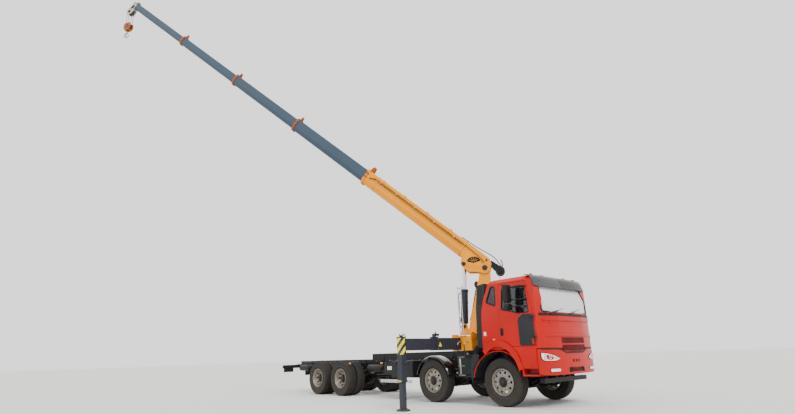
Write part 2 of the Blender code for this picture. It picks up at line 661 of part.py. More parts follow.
def make_door(hinge, base, label, side, outer, inner):
    """A piece of the cab's wall on two hinges, with its mirror and its glass."""
    lean = CAB_LEAN / (CAB_ROOF - 0.09 - CAB_BELT)
    panel = prism(door_outline(0.0), "Y", *span(side, 0.9, CAB_HALF_WIDTH + 0.2))
    window = prism(door_window(0.0), "Y", *span(side, 0.8, CAB_HALF_WIDTH + 0.3))
    extras = []
    for place in hinge_pins(side):
        extras.append(disc("Z", place, HINGE_LUG, -0.020, 0.020, 12))
        extras.append(side_box(side, (DOOR_FRONT - 0.05, HINGE_X), (HINGE_Y - 0.030, HINGE_Y + 0.012),
                               (place[2] - 0.020, place[2] + 0.020)))
    bores = [disc("Z", place, HINGE_PIN + PIN_GAP, -0.1, 0.1, 12) for place in hinge_pins(side)]
    mirror_y = CAB_HALF_WIDTH + MIRROR_STAND
    extras.append(side_box(side, (MIRROR_X - 0.05, MIRROR_X + 0.05), (mirror_y, mirror_y + 0.20), MIRROR_Z))
    for z in (MIRROR_Z[0] + 0.06, MIRROR_Z[1] - 0.06):
        post_x = 0.96 - (z - SCREEN_FOOT_Z) / 7
        extras.append(bar((post_x, side * (CAB_HALF_WIDTH - 0.004 - lean * (z - CAB_BELT)), z),
                          (MIRROR_X, side * (mirror_y + 0.05), z), 0.014, 8))
    solid(f"door_{label}", "red_paint", hinge, [moved(panel, base)],
          steps=[("INTERSECT", outer), ("DIFFERENCE", inner), ("DIFFERENCE", [moved(window, base)]),
                 ("UNION", [moved(extra, base) for extra in extras]),
                 ("DIFFERENCE", [moved(bore, base) for bore in bores])])
    middle = CAB_HALF_WIDTH - CAB_WALL / 2
    pane = prism(door_window(SEAT_GAP), "Y", *span(side, middle - PANE / 2, middle + PANE / 2))
    for vert in pane.verts:
        vert.co.y -= side * lean * max(0.0, vert.co.z - CAB_BELT)
    solid(f"door_glass_{label}", "glass", hinge, [moved(pane, base)])


def make_front(root, outer):
    """Bumper below the cab and sun visor above its windscreen, both bowed as the cab is."""
    low, high = BUMPER_BOTTOM, CAB_FLOOR - 0.015
    face = [(-1.22, low + 0.03), (-0.95, low), (0.95, low), (1.22, low + 0.03), (1.22, high), (0.75, high),
            (0.0, high - 0.10), (-0.75, high), (-1.22, high)]
    plan = prism([(x, y) for x, y in cab_plan(0.0) if x > 0.5], "Z", low - 0.1, high + 0.1)
    hollow = prism([(x, y) for x, y in cab_plan(BUMPER_WALL) if x > 0.5], "Z", low - 0.2, high + 0.2)
    arms = [side_box(side, (RAIL_FRONT + SEAT_GAP, CAB_FRONT - 0.03), (RAIL_OUTSIDE - 0.07, RAIL_OUTSIDE),
                     (RAIL_BOTTOM + 0.02, RAIL_TOP - 0.04)) for _, side in both_sides()]
    solid("front_bumper", "red_paint", root, [prism(face, "X", 0.5, CAB_FRONT + 0.5)],
          steps=[("INTERSECT", [plan]), ("DIFFERENCE", [hollow]),
                 ("DIFFERENCE", [box((0.0, -2.0, 0.0), (BUMPER_BACK, 2.0, 2.0))]), ("UNION", arms)])

    near = cab_body("cab_skin", root, -SEAT_GAP)
    side = [(SCREEN_TOP_X - 0.06, CAB_ROOF - 0.06), (SCREEN_TOP_X + 0.08, CAB_ROOF - 0.05),
            (SCREEN_TOP_X + 0.22, SCREEN_TOP_Z - 0.16), (SCREEN_TOP_X + 0.19, SCREEN_TOP_Z - 0.17),
            (SCREEN_TOP_X + 0.06, SCREEN_TOP_Z + 0.01), (SCREEN_TOP_X - 0.06, SCREEN_TOP_Z + 0.06)]
    bow = [(x + VISOR_REACH - 0.25, y) for x, y in cab_plan(0.03)]
    solid("sun_visor", "trim_plastic", root, [prism(side, "Y", -VISOR_HALF, VISOR_HALF)],
          steps=[("INTERSECT", [prism(bow, "Z", 2.0, 3.5)]), ("DIFFERENCE", near)])


def make_interior(root):
    floor = CAB_FLOOR + CAB_WALL + SEAT_GAP
    half = CAB_HALF_WIDTH - 0.10
    desk = [(0.86, 1.60), (1.22, 1.60), (1.22, 1.90), (1.18, 1.98), (0.84, 1.92), (0.80, 1.70)]
    wheel_at = Vector((0.66, DRIVER_Y, 1.92))
    rim = turned([(0.205, -0.014), (0.235, -0.014), (0.235, 0.014), (0.205, 0.014)], "Z", (0, 0, 0), 18)
    tilt = Matrix.Translation(wheel_at) @ Matrix.Rotation(math.radians(-35), 4, "Y")
    spoke = box((-0.22, -0.02, -0.008), (0.22, 0.02, 0.008))
    for shape in (rim, spoke):
        bmesh.ops.transform(shape, matrix=tilt, verts=shape.verts)
    lining = cab_body("cab_lining", root, CAB_WALL + RUN_GAP)
    pedestal = box((0.90, -0.35, floor), (1.10, 0.35, 1.65))
    steering = [pedestal, rim, spoke, bar(wheel_at, (0.90, DRIVER_Y, 1.60), 0.03, 8)]
    solid("dashboard", "trim_plastic", root, [prism(desk, "Y", -half, half)],
          steps=[("INTERSECT", lining), ("UNION", steering)])
    for label, side in both_sides():
        y = side * DRIVER_Y
        cushion = [(-0.10, 1.62), (0.36, 1.66), (0.39, 1.74), (0.33, 1.79), (-0.06, 1.76), (-0.17, 2.46),
                   (-0.25, 2.48), (-0.27, 2.40), (-0.20, 1.66)]
        shapes = [box((-0.08, y - 0.20, floor), (0.26, y + 0.20, 1.67)), prism(cushion, "Y", y - 0.25, y + 0.25)]
        solid(f"seat_{label}", "seat_cloth", root, shapes)


def make_fenders(root):
    """Arch over the first wheel: painted flare, step panel below the door, dark liner to the rear."""
    skin = CAB_HALF_WIDTH + SEAT_GAP
    roof = CAB_FLOOR - SEAT_GAP
    for label, side in both_sides():
        outer = arc((0, HUB_Z), (ARCH_X - 0.01, ARCH_Z - 0.01), 17, 131, 14)
        inner = arc((0, HUB_Z), (ARCH_X - 0.12, ARCH_Z - 0.16), 131, 20, 14)
        shapes = [prism(outer + inner, "Y", *span(side, skin, skin + FLARE_STAND))]
        front, rear = (LINER_FRONT, LINER_HEIGHT), (LINER_REAR, LINER_HEIGHT)
        over = [(u - LINER_WALL, v - LINER_WALL) for u, v in (front, rear)]
        liner = (arc((0, HUB_Z), front, 24, 90, 7) + arc((0, HUB_Z), rear, 90, 172, 8)[1:]
                 + arc((0, HUB_Z), over[1], 172, 90, 8) + arc((0, HUB_Z), over[0], 90, 24, 7)[1:])
        shapes.append(prism(liner, "Y", *span(side, GUARD_INNER, skin + FLARE_STAND / 2)))
        step = side_box(side, (STEP_REAR, STEP_FRONT), (GUARD_INNER, skin + 0.010), (STEP_BOTTOM, roof))
        recess = side_box(side, (STEP_REAR + 0.04, STEP_FRONT + 0.1), (CAB_HALF_WIDTH - 0.20, CAB_HALF_WIDTH + 0.1),
                          (STEP_BOTTOM + 0.035, STEP_BOTTOM + 0.16))
        shapes.append(step)
        solid(f"front_fender_{label}", "red_paint", root, shapes, [recess])

        x, radius = AXLE_X[1], GUARD_RADIUS
        guard = (arc((x, HUB_Z), (radius, radius), 15, 165, 12)
                 + arc((x, HUB_Z), (radius - 0.015, radius - 0.015), 165, 15, 12))
        shapes = [prism(guard, "Y", *span(side, GUARD_INNER, CAB_HALF_WIDTH - 0.01))]
        for end in (-1, 1):
            place = (x + end * 0.47, HUB_Z + math.sqrt(radius ** 2 - 0.47 ** 2) - 0.01)
            shapes.append(bar((place[0], side * (RAIL_OUTSIDE + SEAT_GAP), place[1]),
                              (place[0], side * (GUARD_INNER + 0.1), place[1]), 0.022, 8))
        solid(f"mudguard_{label}", "trim_plastic", root, shapes)


def make_chassis_boxes(root):
    """Tanks and boxes hung from the outside of the rails, and the intake behind the cab."""
    rail = RAIL_OUTSIDE + SEAT_GAP
    tank = [(0.50, 0.62), (0.58, 0.52), (1.08, 0.52), (1.16, 0.60), (1.16, 1.02), (1.08, 1.10), (0.58, 1.10),
            (0.50, 1.02)]
    shapes = [prism(tank, "X", *FUEL_TANK_X)]
    for x in (FUEL_TANK_X[0] + 0.2, FUEL_TANK_X[1] - 0.2):
        shapes.append(side_box(1, (x - 0.04, x + 0.04), (rail, 0.52), (RAIL_BOTTOM + 0.01, RAIL_TOP - 0.05)))
    solid("fuel_tank", "frame_black", root, shapes)

    shapes = [side_box(-1, BATTERY_X, (rail, 1.16), (0.60, 1.04)),
              side_box(-1, (BATTERY_X[0] - 0.55, BATTERY_X[0] + 0.02), (rail, 0.98), (0.66, 0.98))]
    solid("battery_box", "trim_plastic", root, shapes)

    shapes = [side_box(-1, OIL_TANK_X, (rail, OIL_TANK_OUT), OIL_TANK_Z)]
    for x in LADDER_X:
        shapes.append(bar((x, -LADDER_Y, LADDER_Z[0]), (x, -LADDER_Y, LADDER_Z[1]), 0.014, 8))
        for z in (LADDER_Z[0] + 0.05, OIL_TANK_Z[1] - 0.06):
            shapes.append(bar((x, -OIL_TANK_OUT + 0.02, z), (x, -LADDER_Y, z), 0.010, 6))
    for z in (LADDER_Z[0] + 0.05, (LADDER_Z[0] + OIL_TANK_Z[1]) / 2, OIL_TANK_Z[1] - 0.06):
        shapes.append(bar((LADDER_X[0], -LADDER_Y, z), (LADDER_X[1], -LADDER_Y, z), 0.012, 8))
    solid("hydraulic_tank", "grey_paint", root, shapes)

    g = SEAT_GAP
    stack = [(CAB_REAR - g, 1.30), (CAB_REAR + 0.03 - g, 2.20), (CAB_REAR + 0.10 - g, 2.50), (-0.35, CAB_ROOF - 0.04),
             (-0.57, CAB_ROOF - 0.07), (-0.66, 2.30), (-0.70, 1.36)]
    shapes = [prism(stack, "Y", *span(-1, 0.80, 1.14)),
              bar((-0.60, -0.95, 1.42), (-0.90, -0.95, 1.26), 0.085, 12),
              disc("Z", (-0.89, -0.90, 0), 0.09, OIL_TANK_Z[1] + g, 1.30, 14)]
    solid("intake_stack", "trim_plastic", root, shapes)


# ---------------------------------------------------------------- outriggers and their housing
def make_outriggers(root):
    floor = HOUSING_BOTTOM + HOUSING_FLOOR
    shapes = [box((HOUSING_REAR, -HOUSING_HALF, HOUSING_BOTTOM), (HOUSING_FRONT, HOUSING_HALF, HOUSING_TOP)),
              disc("Z", (CRANE_X, 0, 0), TURNTABLE_RADIUS - 0.02, HOUSING_TOP - 0.01, TURNTABLE_TOP, 20)]
    cuts = []
    half, gap = BEAM_WIDTH / 2, RUN_GAP
    for label, side in both_sides():
        x = OUTRIGGER_X[label]
        cuts.append(box((x - half - gap, -HOUSING_HALF - 0.1 if side < 0 else -HOUSING_HALF + 0.02,
                         floor - SEAT_GAP),
                        (x + half + gap, HOUSING_HALF - 0.02 if side < 0 else HOUSING_HALF + 0.1,
                         floor + BEAM_HEIGHT + gap)))
        edge = HOUSING_REAR if side < 0 else HOUSING_FRONT
        lug = sorted((edge, edge + (0.035 if side < 0 else -0.035)))
        shapes.append(side_box(side, lug, (HOUSING_HALF - 0.25, HOUSING_HALF), (HOUSING_TOP - 0.01, HOUSING_TOP + 0.05)))
    solid("crane_base", "yellow_paint", root, shapes, cuts)

    for label, side in both_sides():
        make_outrigger(root, label, side, floor)


def make_outrigger(root, label, side, floor):
    """Two beams that slide out one inside the other, and a jack with its foot."""
    x, half, w = OUTRIGGER_X[label], BEAM_WIDTH / 2, BEAM_WALL
    slide = empty(f"beam_slide_{label}", root, (x, side * FIRST_STAGE_END, floor))
    length = FIRST_STAGE_END - FIRST_STAGE_TRAVEL + HOUSING_HALF - 0.03
    outer = side_box(side, (-half, half), (-length, 0.0), (0.0, BEAM_HEIGHT))
    ring = side_box(side, (-half - 0.012, half + 0.012), (-COLLAR_WIDTH, 0.0), (0.0, BEAM_HEIGHT + 0.02))
    lock = side_box(side, (-0.05, 0.05), (-0.16, 0.0), (BEAM_HEIGHT + HOUSING_ROOF + 0.012, BEAM_HEIGHT + 0.095))
    post = side_box(side, (-0.05, 0.05), (-COLLAR_WIDTH, 0.0), (BEAM_HEIGHT, BEAM_HEIGHT + 0.09))
    bore = side_box(side, (-half + w, half - w), (-3.0, 0.5), (w, BEAM_HEIGHT - w))
    solid(f"outrigger_beam_{label}", "grey_paint", slide, [outer, ring, lock, post], [bore])

    arm_slide = empty(f"arm_slide_{label}", slide, (0, side * (BEAM_REACH - FIRST_STAGE_END), w + SEAT_GAP))
    arm_half = half - w - RUN_GAP
    arm_height = BEAM_HEIGHT - 2 * w - RUN_GAP
    tube_half = JACK_TUBE_Y / 2
    bottom, top = JACK_TUBE_BOTTOM - floor - w, BEAM_HEIGHT + 0.0
    arm = side_box(side, (-arm_half, arm_half), (-ARM_LENGTH, -tube_half + 0.02), (0.0, arm_height))
    tube = side_box(side, (-JACK_TUBE_X / 2, JACK_TUBE_X / 2), (-tube_half, tube_half), (bottom, top))
    core = side_box(side, (-arm_half + w, arm_half - w), (-ARM_LENGTH - 0.1, -tube_half - 0.01), (w, arm_height - w))
    leg = JACK_LEG / 2
    wide, snug = leg + RUN_GAP, leg + PIN_GAP
    bores = [box((-wide, -wide, bottom + 0.05), (wide, wide, top - 0.02)),
             box((-snug, -snug, bottom - 0.1), (snug, snug, bottom + 0.06))]
    solid(f"outrigger_arm_{label}", "grey_paint", arm_slide, [arm, tube], [core] + bores)

    ground = -(floor + w + SEAT_GAP)
    jack = empty(f"jack_{label}", arm_slide, (0, 0, ground))
    reach = JACK_TUBE_BOTTOM + JACK_OVERLAP
    solid(f"jack_leg_{label}", "grey_paint", jack,
          [box((-leg, -leg, 0.06), (leg, leg, reach)), disc("Z", (0, 0, 0), 0.05, 0.02, 0.07, 12),
           disc("Z", (0, 0, 0), FOOT_RADIUS, 0.0, 0.03, 20)])


# ---------------------------------------------------------------- column, boom and hook
def on_boom(x, z, angle_deg):
    """A place on the boom, as (outwards, up) from the boom pin."""
    a = math.radians(angle_deg)
    return x * math.cos(a) - z * math.sin(a), x * math.sin(a) + z * math.cos(a)


def make_column(slew):
    """The leaning column with the boom pin's eye at its head and the cylinder's cheeks at its foot."""
    head = arc((PIVOT_S, PIVOT_Z), (HEAD_RADIUS, HEAD_RADIUS), -20, 180, 10)
    outline = ([(-0.30, TURNTABLE_TOP + 0.02), (0.40, TURNTABLE_TOP + 0.02), (0.34, 1.97), (0.15, 2.65),
                (-0.01, 3.27)] + head + [(PIVOT_S - HEAD_RADIUS + 0.015, 3.10), (-0.30, 2.60)])
    cheek_in = EYE_HALF + SIDE_GAP
    cheek = arc((EYE_S, EYE_Z), (0.075, 0.075), 0, 180, 8) + [(0.34, TURNTABLE_TOP + 0.02),
                                                             (EYE_S + 0.11, TURNTABLE_TOP + 0.02)]
    shapes = [prism(outline, "Y", -COLUMN_HALF_WIDTH, COLUMN_HALF_WIDTH),
              disc("Z", (0, 0, 0), TURNTABLE_RADIUS, TURNTABLE_TOP + SEAT_GAP, TURNTABLE_TOP + 0.04, 20),
              box((0.0, -0.14, TURNTABLE_TOP + SEAT_GAP), (EYE_S + 0.12, 0.14, TURNTABLE_TOP + 0.035)),
              disc("Y", (EYE_S, 0, EYE_Z), LIFT_PIN_RADIUS, -0.12, 0.12, 16)]
    for _, side in both_sides():
        shapes.append(prism(cheek, "Y", *span(side, cheek_in, cheek_in + 0.03)))
    bore = [disc("Y", (PIVOT_S, 0, PIVOT_Z), BOOM_PIN_RADIUS + PIN_GAP, -0.5, 0.5, 20)]
    solid("column", "yellow_paint", slew, shapes, bore)


def make_lift_cylinder(slew):
    """Barrel on the column's foot, and the rod whose eye sits between the boom's foot plates."""
    pin = on_boom(ROD_PIN_X, ROD_PIN_Z, LUFF_DEG)
    run = Vector((PIVOT_S + pin[0] - EYE_S, 0, PIVOT_Z + pin[1] - EYE_Z))
    length = run.length
    tilt = math.atan2(run.x, run.z)
    barrel = empty("lift_cylinder_tilt", slew, (EYE_S, 0, EYE_Z), (0, tilt, 0))
    outer, gland = LIFT_BORE_RADIUS, LIFT_BARREL_LENGTH - 0.06
    shapes = [disc("Y", (0, 0, 0), 0.085, -EYE_HALF, EYE_HALF, 16),
              box((-0.05, -EYE_HALF + 0.005, 0.0), (0.05, EYE_HALF - 0.005, 0.12)),
              disc("Z", (0, 0, 0), outer, 0.10, LIFT_BARREL_LENGTH, 20)]
    cuts = [disc("Y", (0, 0, 0), LIFT_PIN_RADIUS + PIN_GAP, -0.2, 0.2, 16),
            disc("Z", (0, 0, 0), outer - 0.015, 0.14, gland, 20),
            disc("Z", (0, 0, 0), LIFT_ROD_RADIUS + PIN_GAP, gland - 0.01, LIFT_BARREL_LENGTH + 0.1, 20)]
    solid("lift_cylinder_barrel", "grey_paint", barrel, shapes, cuts)

    rod = empty("lift_cylinder_stroke", barrel, (0, 0, length))
    shapes = [disc("Z", (0, 0, 0), LIFT_ROD_RADIUS, -LIFT_ROD_LENGTH, -0.04, 20),
              disc("Z", (0, 0, 0), outer - 0.015 - PIN_GAP, -LIFT_ROD_LENGTH, -LIFT_ROD_LENGTH + 0.04, 20),
              disc("Y", (0, 0, 0), 0.075, -EYE_HALF, EYE_HALF, 16)]
    solid("lift_cylinder_rod", "chrome_rod", rod, shapes,
          [disc("Y", (0, 0, 0), LIFT_PIN_RADIUS + PIN_GAP, -0.2, 0.2, 16)])


def tube_outline(width, height, rise):
    """Section of a boom tube as (y, z): square shoulders above, sides drawn in below a bend."""
    w, h = width / 2, height / 2
    edge = 0.025
    return [(-w + edge, rise + h), (-w, rise + h - edge), (-w, rise - 0.4 * h), (-0.58 * w, rise - h),
            (0.58 * w, rise - h), (w, rise - 0.4 * h), (w, rise + h - edge), (w - edge, rise + h)]


def boom_tube(index, start, end, shapes=(), cuts=()):
    """Shapes and cuts of one tube with the collar at its outer end."""
    width, height = BOOM_WIDTHS[index], BOOM_HEIGHTS[index]
    inside = (width - 2 * BOOM_WALL, height - 2 * BOOM_WALL)
    made = [prism(tube_outline(width, height, BOOM_AXIS), "X", start, end),
            prism(tube_outline(width + 0.03, height + 0.03, BOOM_AXIS), "X", end - COLLAR, end + 0.001)]
    return made + list(shapes), [prism(tube_outline(*inside, BOOM_AXIS), "X", start - 0.5, end + 0.5)] + list(cuts)


def slide_pads(index, start):
    """Pads at the inner end of a section that bear on the tube round it."""
    width, height = BOOM_WIDTHS[index], BOOM_HEIGHTS[index]
    bearing_y = BOOM_WIDTHS[index - 1] / 2 - BOOM_WALL - PIN_GAP / 2
    bearing_z = BOOM_HEIGHTS[index - 1] / 2 - BOOM_WALL - PIN_GAP / 2
    pads = []
    for side in (-1, 1):
        z = sorted((BOOM_AXIS + side * (height / 2 - 0.004), BOOM_AXIS + side * bearing_z))
        pads.append(box((start + 0.02, -0.25 * width, z[0]), (start + 0.12, 0.25 * width, z[1])))
        y = sorted((side * (width / 2 - 0.004), side * bearing_y))
        pads.append(box((start + 0.02, y[0], BOOM_AXIS), (start + 0.12, y[1], BOOM_AXIS + 0.3 * height)))
    return pads


def make_boom(slew):
    luff = empty("luff", slew, (PIVOT_S, 0, PIVOT_Z), (0, -math.radians(LUFF_DEG), 0))
    inner, outer = COLUMN_HALF_WIDTH + 0.015, COLUMN_HALF_WIDTH + 0.045
    shoulder = BOOM_AXIS + BOOM_HEIGHTS[0] / 2
    belly = BOOM_AXIS - BOOM_HEIGHTS[0] / 2
    plate = ([(0.045, shoulder - 0.01), (-0.08, 0.20)] + arc((0, 0), (0.16, 0.16), 150, 250, 6)
             + [(0.12, -0.24), (0.28, -0.37), (0.50, -0.375), (0.62, -0.33), (0.72, belly + 0.02),
                (0.80, belly + 0.08), (0.80, shoulder - 0.03), (0.74, shoulder - 0.01)])
    extras = [prism(plate, "Y", *span(side, inner, outer)) for _, side in both_sides()]
    extras.append(disc("Y", (0, 0, 0), BOOM_PIN_RADIUS, -outer - 0.02, outer + 0.02, 20))
    for _, side in both_sides():
        extras.append(disc("Y", (ROD_PIN_X, 0, ROD_PIN_Z), 0.05, *span(side, inner, outer + 0.02), 14))
    shapes, cuts = boom_tube(0, BASE_START, BASE_END, extras[:2])
    node = solid("boom_base_section", "yellow_paint", luff, shapes, cuts, ())
    add_boolean(node, "pins", "UNION", extras[2:], luff)

    winch_x, winch_z = WINCH_PLACE
    side_plate = [(-0.02, 0.18), (-0.02, 0.28), (winch_x + 0.06, winch_z + 0.10), (winch_x - 0.07, winch_z + 0.07),
                  (winch_x - 0.07, winch_z - 0.07), (winch_x + 0.08, winch_z - 0.08), (-0.16, 0.14)]
    seat = inner - SEAT_GAP
    shapes = [disc("Y", (winch_x, 0, winch_z), 0.085, -seat + 0.01, seat - 0.01, 14)]
    shapes += [disc("Y", (winch_x, 0, winch_z), 0.125, y, y + 0.012, 16) for y in (-0.105, 0.093)]
    shapes += [prism(side_plate, "Y", *span(side, seat - 0.02, seat)) for _, side in both_sides()]
    shapes.append(disc("Y", (winch_x, 0, winch_z), 0.07, -seat - 0.12, -seat + 0.01, 12))
    solid("winch", "frame_black", luff, shapes)

    parent, at = luff, 0.0
    for index in range(1, len(BOOM_WIDTHS)):
        end = BASE_END + index * BOOM_STEP
        slide = empty(f"telescope_{index + 1}", parent, (end - at, 0, 0))
        start = -BOOM_STEP - BOOM_LAP
        last = index == len(BOOM_WIDTHS) - 1
        shapes, cuts = boom_tube(index, start, 0.0, slide_pads(index, start))
        node = solid(f"boom_section_{index + 1}", "blue_grey_paint", slide, shapes, cuts)
        if last:
            make_head(slide, node)
        parent, at = slide, end


def make_head(tip, node):
    """Cheeks and sheaves at the tip, with the hook hanging plumb from the sheave pin."""
    half = BOOM_WIDTHS[-1] / 2 + 0.001
    cheek = [(-0.085, 0.16), (0.06, 0.21), (0.13, 0.14), (0.15, -0.30), (0.08, -0.42), (-0.08, -0.42),
             (-0.16, -0.30), (-0.13, -0.125), (-0.085, -0.115)]
    shapes = [prism(cheek, "Y", *span(side, half - 0.012, half)) for _, side in both_sides()]
    shapes.append(box((-0.02, -half + 0.005, 0.15), (0.10, half - 0.005, 0.18)))
    sheave_z = SHEAVE_DROP
    shapes.append(disc("Y", (0, 0, -sheave_z), 0.03, -half - 0.02, half + 0.02, 14))
    for y in SHEAVE_PLACES:
        shapes.append(disc("Y", (0, 0, -sheave_z), SHEAVE_RADIUS, y - 0.02, y + 0.02, 32))
    add_boolean(node, "head", "UNION", shapes, tip)

    hang = empty("hook_swing", tip, (0, 0, -sheave_z), (0, math.radians(LUFF_DEG), 0))
    low = -HOOK_DROP
    fall = SHEAVE_RADIUS + ROPE_RADIUS * math.cos(math.pi / 6) + SEAT_GAP
    block = [(-0.17, low + 0.10), (-0.10, low + 0.17), (0.10, low + 0.17), (0.17, low + 0.10), (0.17, low - 0.10),
             (0.08, low - 0.20), (-0.08, low - 0.20), (-0.17, low - 0.10)]
    shapes = [prism(block, "Y", -0.085, 0.085)]
    for y in SHEAVE_PLACES:
        for x in (-fall, fall):
            shapes.append(bar((x, y, low + 0.05), (x, y, 0.0), ROPE_RADIUS, 6))
    shapes.append(disc("Z", (0, 0, 0), 0.028, low - 0.30, low - 0.19, 12))
    centre = (0.0, low - 0.40)
    crook = (arc(centre, (0.115, 0.115), 100, -170, 16) + arc(centre, (0.085, 0.085), -170, -150, 2)
             + arc(centre, (0.060, 0.060), -140, 60, 12))
    shapes.append(prism(crook, "Y", -0.025, 0.025))
    solid("hook_block", "orange_paint", hang, shapes)


def settle(root):
    """Shift the whole so that the origin is the bottom centre of its box."""
    bpy.context.view_layer.update()
    graph = bpy.context.evaluated_depsgraph_get()
    corners = []
    for obj in bpy.data.objects:
        if obj.type == "MESH" and not obj.hide_render and not any(c.hide_render for c in obj.users_collection):
            ready = obj.evaluated_get(graph)
            corners += [ready.matrix_world @ vert.co for vert in ready.data.vertices]
            obj.data.shade_smooth()
            obj.data.set_sharp_from_angle(angle=math.radians(35))
    low = [min(c[i] for c in corners) for i in range(3)]
    high = [max(c[i] for c in corners) for i in range(3)]
    root.location = (-(low[0] + high[0]) / 2, -(low[1] + high[1]) / 2, -low[2])


def main():
    start_clean()
    root = empty("lorry_crane", None)
    make_frame(root)
    make_running_gear(root)
    make_driveline(root)
    make_cab(root)
    make_interior(root)
    make_fenders(root)
    make_chassis_boxes(root)
    make_outriggers(root)
    slew = empty("slew", root, (CRANE_X, 0, 0), (0, 0, math.radians(SLEW_DEG)))
    make_column(slew)
    make_lift_cylinder(slew)
    make_boom(slew)
    settle(root)


main()
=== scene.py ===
"""Looks of a truck-mounted telescopic crane: finishes, tyres, cab trim, boom fittings and chassis detail.

Lengths are metres. Most pieces are laid out from the point on the ground below the middle of the first
axle, X forward and Y to the left, and then carried to the place of that axle in the frame.
"""

import json
import math

import bmesh
import bpy
import numpy as np
from mathutils import Matrix


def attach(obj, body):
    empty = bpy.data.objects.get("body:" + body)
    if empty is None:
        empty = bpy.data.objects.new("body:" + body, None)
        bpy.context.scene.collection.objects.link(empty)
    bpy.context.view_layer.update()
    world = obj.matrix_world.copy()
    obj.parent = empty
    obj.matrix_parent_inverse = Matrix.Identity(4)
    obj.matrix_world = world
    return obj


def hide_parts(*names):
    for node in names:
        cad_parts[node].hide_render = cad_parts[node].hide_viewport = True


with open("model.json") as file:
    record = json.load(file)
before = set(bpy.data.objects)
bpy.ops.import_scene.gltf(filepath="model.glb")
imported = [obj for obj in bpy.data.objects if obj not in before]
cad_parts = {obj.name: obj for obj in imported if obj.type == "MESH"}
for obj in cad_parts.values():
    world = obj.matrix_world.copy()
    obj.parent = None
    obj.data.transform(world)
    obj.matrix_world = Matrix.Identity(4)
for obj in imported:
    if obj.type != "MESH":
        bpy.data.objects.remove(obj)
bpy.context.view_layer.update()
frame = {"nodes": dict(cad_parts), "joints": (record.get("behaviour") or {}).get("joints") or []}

TAU = 2 * math.pi
JOINTS = {joint["name"]: joint for joint in frame["joints"]}
AXLES = (0.0, -2.25, -6.45, -7.80)
SLEW_DEG, LUFF_DEG = 215.0, 41.5
BASE_END, BOOM_STEP = 4.80, 3.36
BOOM_HEIGHTS = (0.46, 0.41, 0.36, 0.315, 0.27)
BOOM_WIDTHS = (0.34, 0.298, 0.256, 0.217, 0.178)
BOOM_AXIS = 0.07
CAMERA_TURN = (137.635, 17.375, -1.73)        # yaw, pitch and roll in degrees
CAMERA_PLACE, CAMERA_LENS = (7.144, -10.848, 1.214), 21.44
JACK_Y, MIRROR_Y, MIRROR_X = 3.0, 1.43, 0.463
HOUSING_LOW, HOUSING_TOP, HOUSING_FRONT, HOUSING_REAR = 1.2806, 1.6406, -0.985, -1.645
CAB_HALF, CAB_BELT, CAB_LEAN = 1.23, 2.03, 0.07 / 0.81
CAB_NOSE_X = (0.99, 1.08, 1.19, 1.26, 1.29)
CAB_NOSE_Y = (1.23, 1.20, 0.95, 0.53, 0.0)
TYRE_R = 0.54


# ---------------------------------------------------------------- places
def shift(x, y, z):
    made = np.eye(4)
    made[:3, 3] = (x, y, z)
    return made


def turn(axis, degrees):
    """Rotation about X, Y or Z as a 4 by 4 matrix."""
    a = math.radians(degrees)
    i, j = {"X": (1, 2), "Y": (2, 0), "Z": (0, 1)}[axis]
    made = np.eye(4)
    made[i, i] = made[j, j] = math.cos(a)
    made[i, j], made[j, i] = -math.sin(a), math.sin(a)
    return made


def joint_at(name):
    return shift(*JOINTS[name]["pos_m"])


hub_right, hub_left = (JOINTS[f"wheel_roll_1_{side}"]["pos_m"] for side in ("right", "left"))
LORRY = shift(hub_right[0], (hub_right[1] + hub_left[1]) / 2, 0.0)
slew_pos = JOINTS["slew"]["pos_m"]
SLEW = shift(slew_pos[0], slew_pos[1], 0.0) @ turn("Z", SLEW_DEG)
BOOM = joint_at("boom_luff") @ turn("Z", SLEW_DEG) @ turn("Y", -LUFF_DEG)
HOOK = joint_at("hook_swing") @ turn("Z", SLEW_DEG)


def tip(index):
    """Place of the outer end of a boom section, 0 for the base section."""
    return BOOM @ shift(BASE_END + index * BOOM_STEP, 0, 0)


# ---------------------------------------------------------------- surfaces
def sheet_of(points, round_u=False, round_v=False):
    """Quads over a grid of points (rows, columns, 3), closed on itself where asked."""
    rows, columns = points.shape[:2]
    u = np.arange(rows if round_u else rows - 1)[:, None]
    v = np.arange(columns if round_v else columns - 1)[None, :]
    un, vn = (u + 1) % rows, (v + 1) % columns
    faces = np.stack(np.broadcast_arrays(u * columns + v,
                                         un * columns + v, un * columns + vn, u * columns + vn), -1)
    return points.reshape(-1, 3), faces.reshape(-1, 4).tolist()


def capped(points):
    """A stack of closed rings (rings, around, 3) with a face over each end."""
    verts, faces = sheet_of(points, round_v=True)
    rings, around = points.shape[:2]
    start = list(range(around))
    end = [(rings - 1) * around + i for i in reversed(range(around))]
    return verts, faces + [start, end]


def swap(points, axis):
    """Outline coordinates (u, v) and height w to X, Y, Z for an outline that faces along the axis."""
    u, v, w = points[..., 0], points[..., 1], points[..., 2]
    order = {"X": (w, u, v), "Y": (u, w, v), "Z": (u, v, w)}[axis]
    return np.stack(order, -1)


def inward(outline, amount):
    """The outline moved in by an amount: each corner goes along the bisector of its two edge normals."""
    before = outline - np.roll(outline, 1, 0)
    after = np.roll(outline, -1, 0) - outline
    area = np.sum(outline[:, 0] * np.roll(outline[:, 1], -1) - np.roll(outline[:, 0], -1) * outline[:, 1])
    spin = 1.0 if area > 0 else -1.0
    left = [np.stack((-e[:, 1], e[:, 0]), -1) / np.maximum(np.linalg.norm(e, axis=1), 1e-9)[:, None]
            for e in (before, after)]
    mean = left[0] + left[1]
    mean /= np.maximum(np.sum(mean * left[0], axis=1), 0.35)[:, None]
    return outline + spin * amount * mean


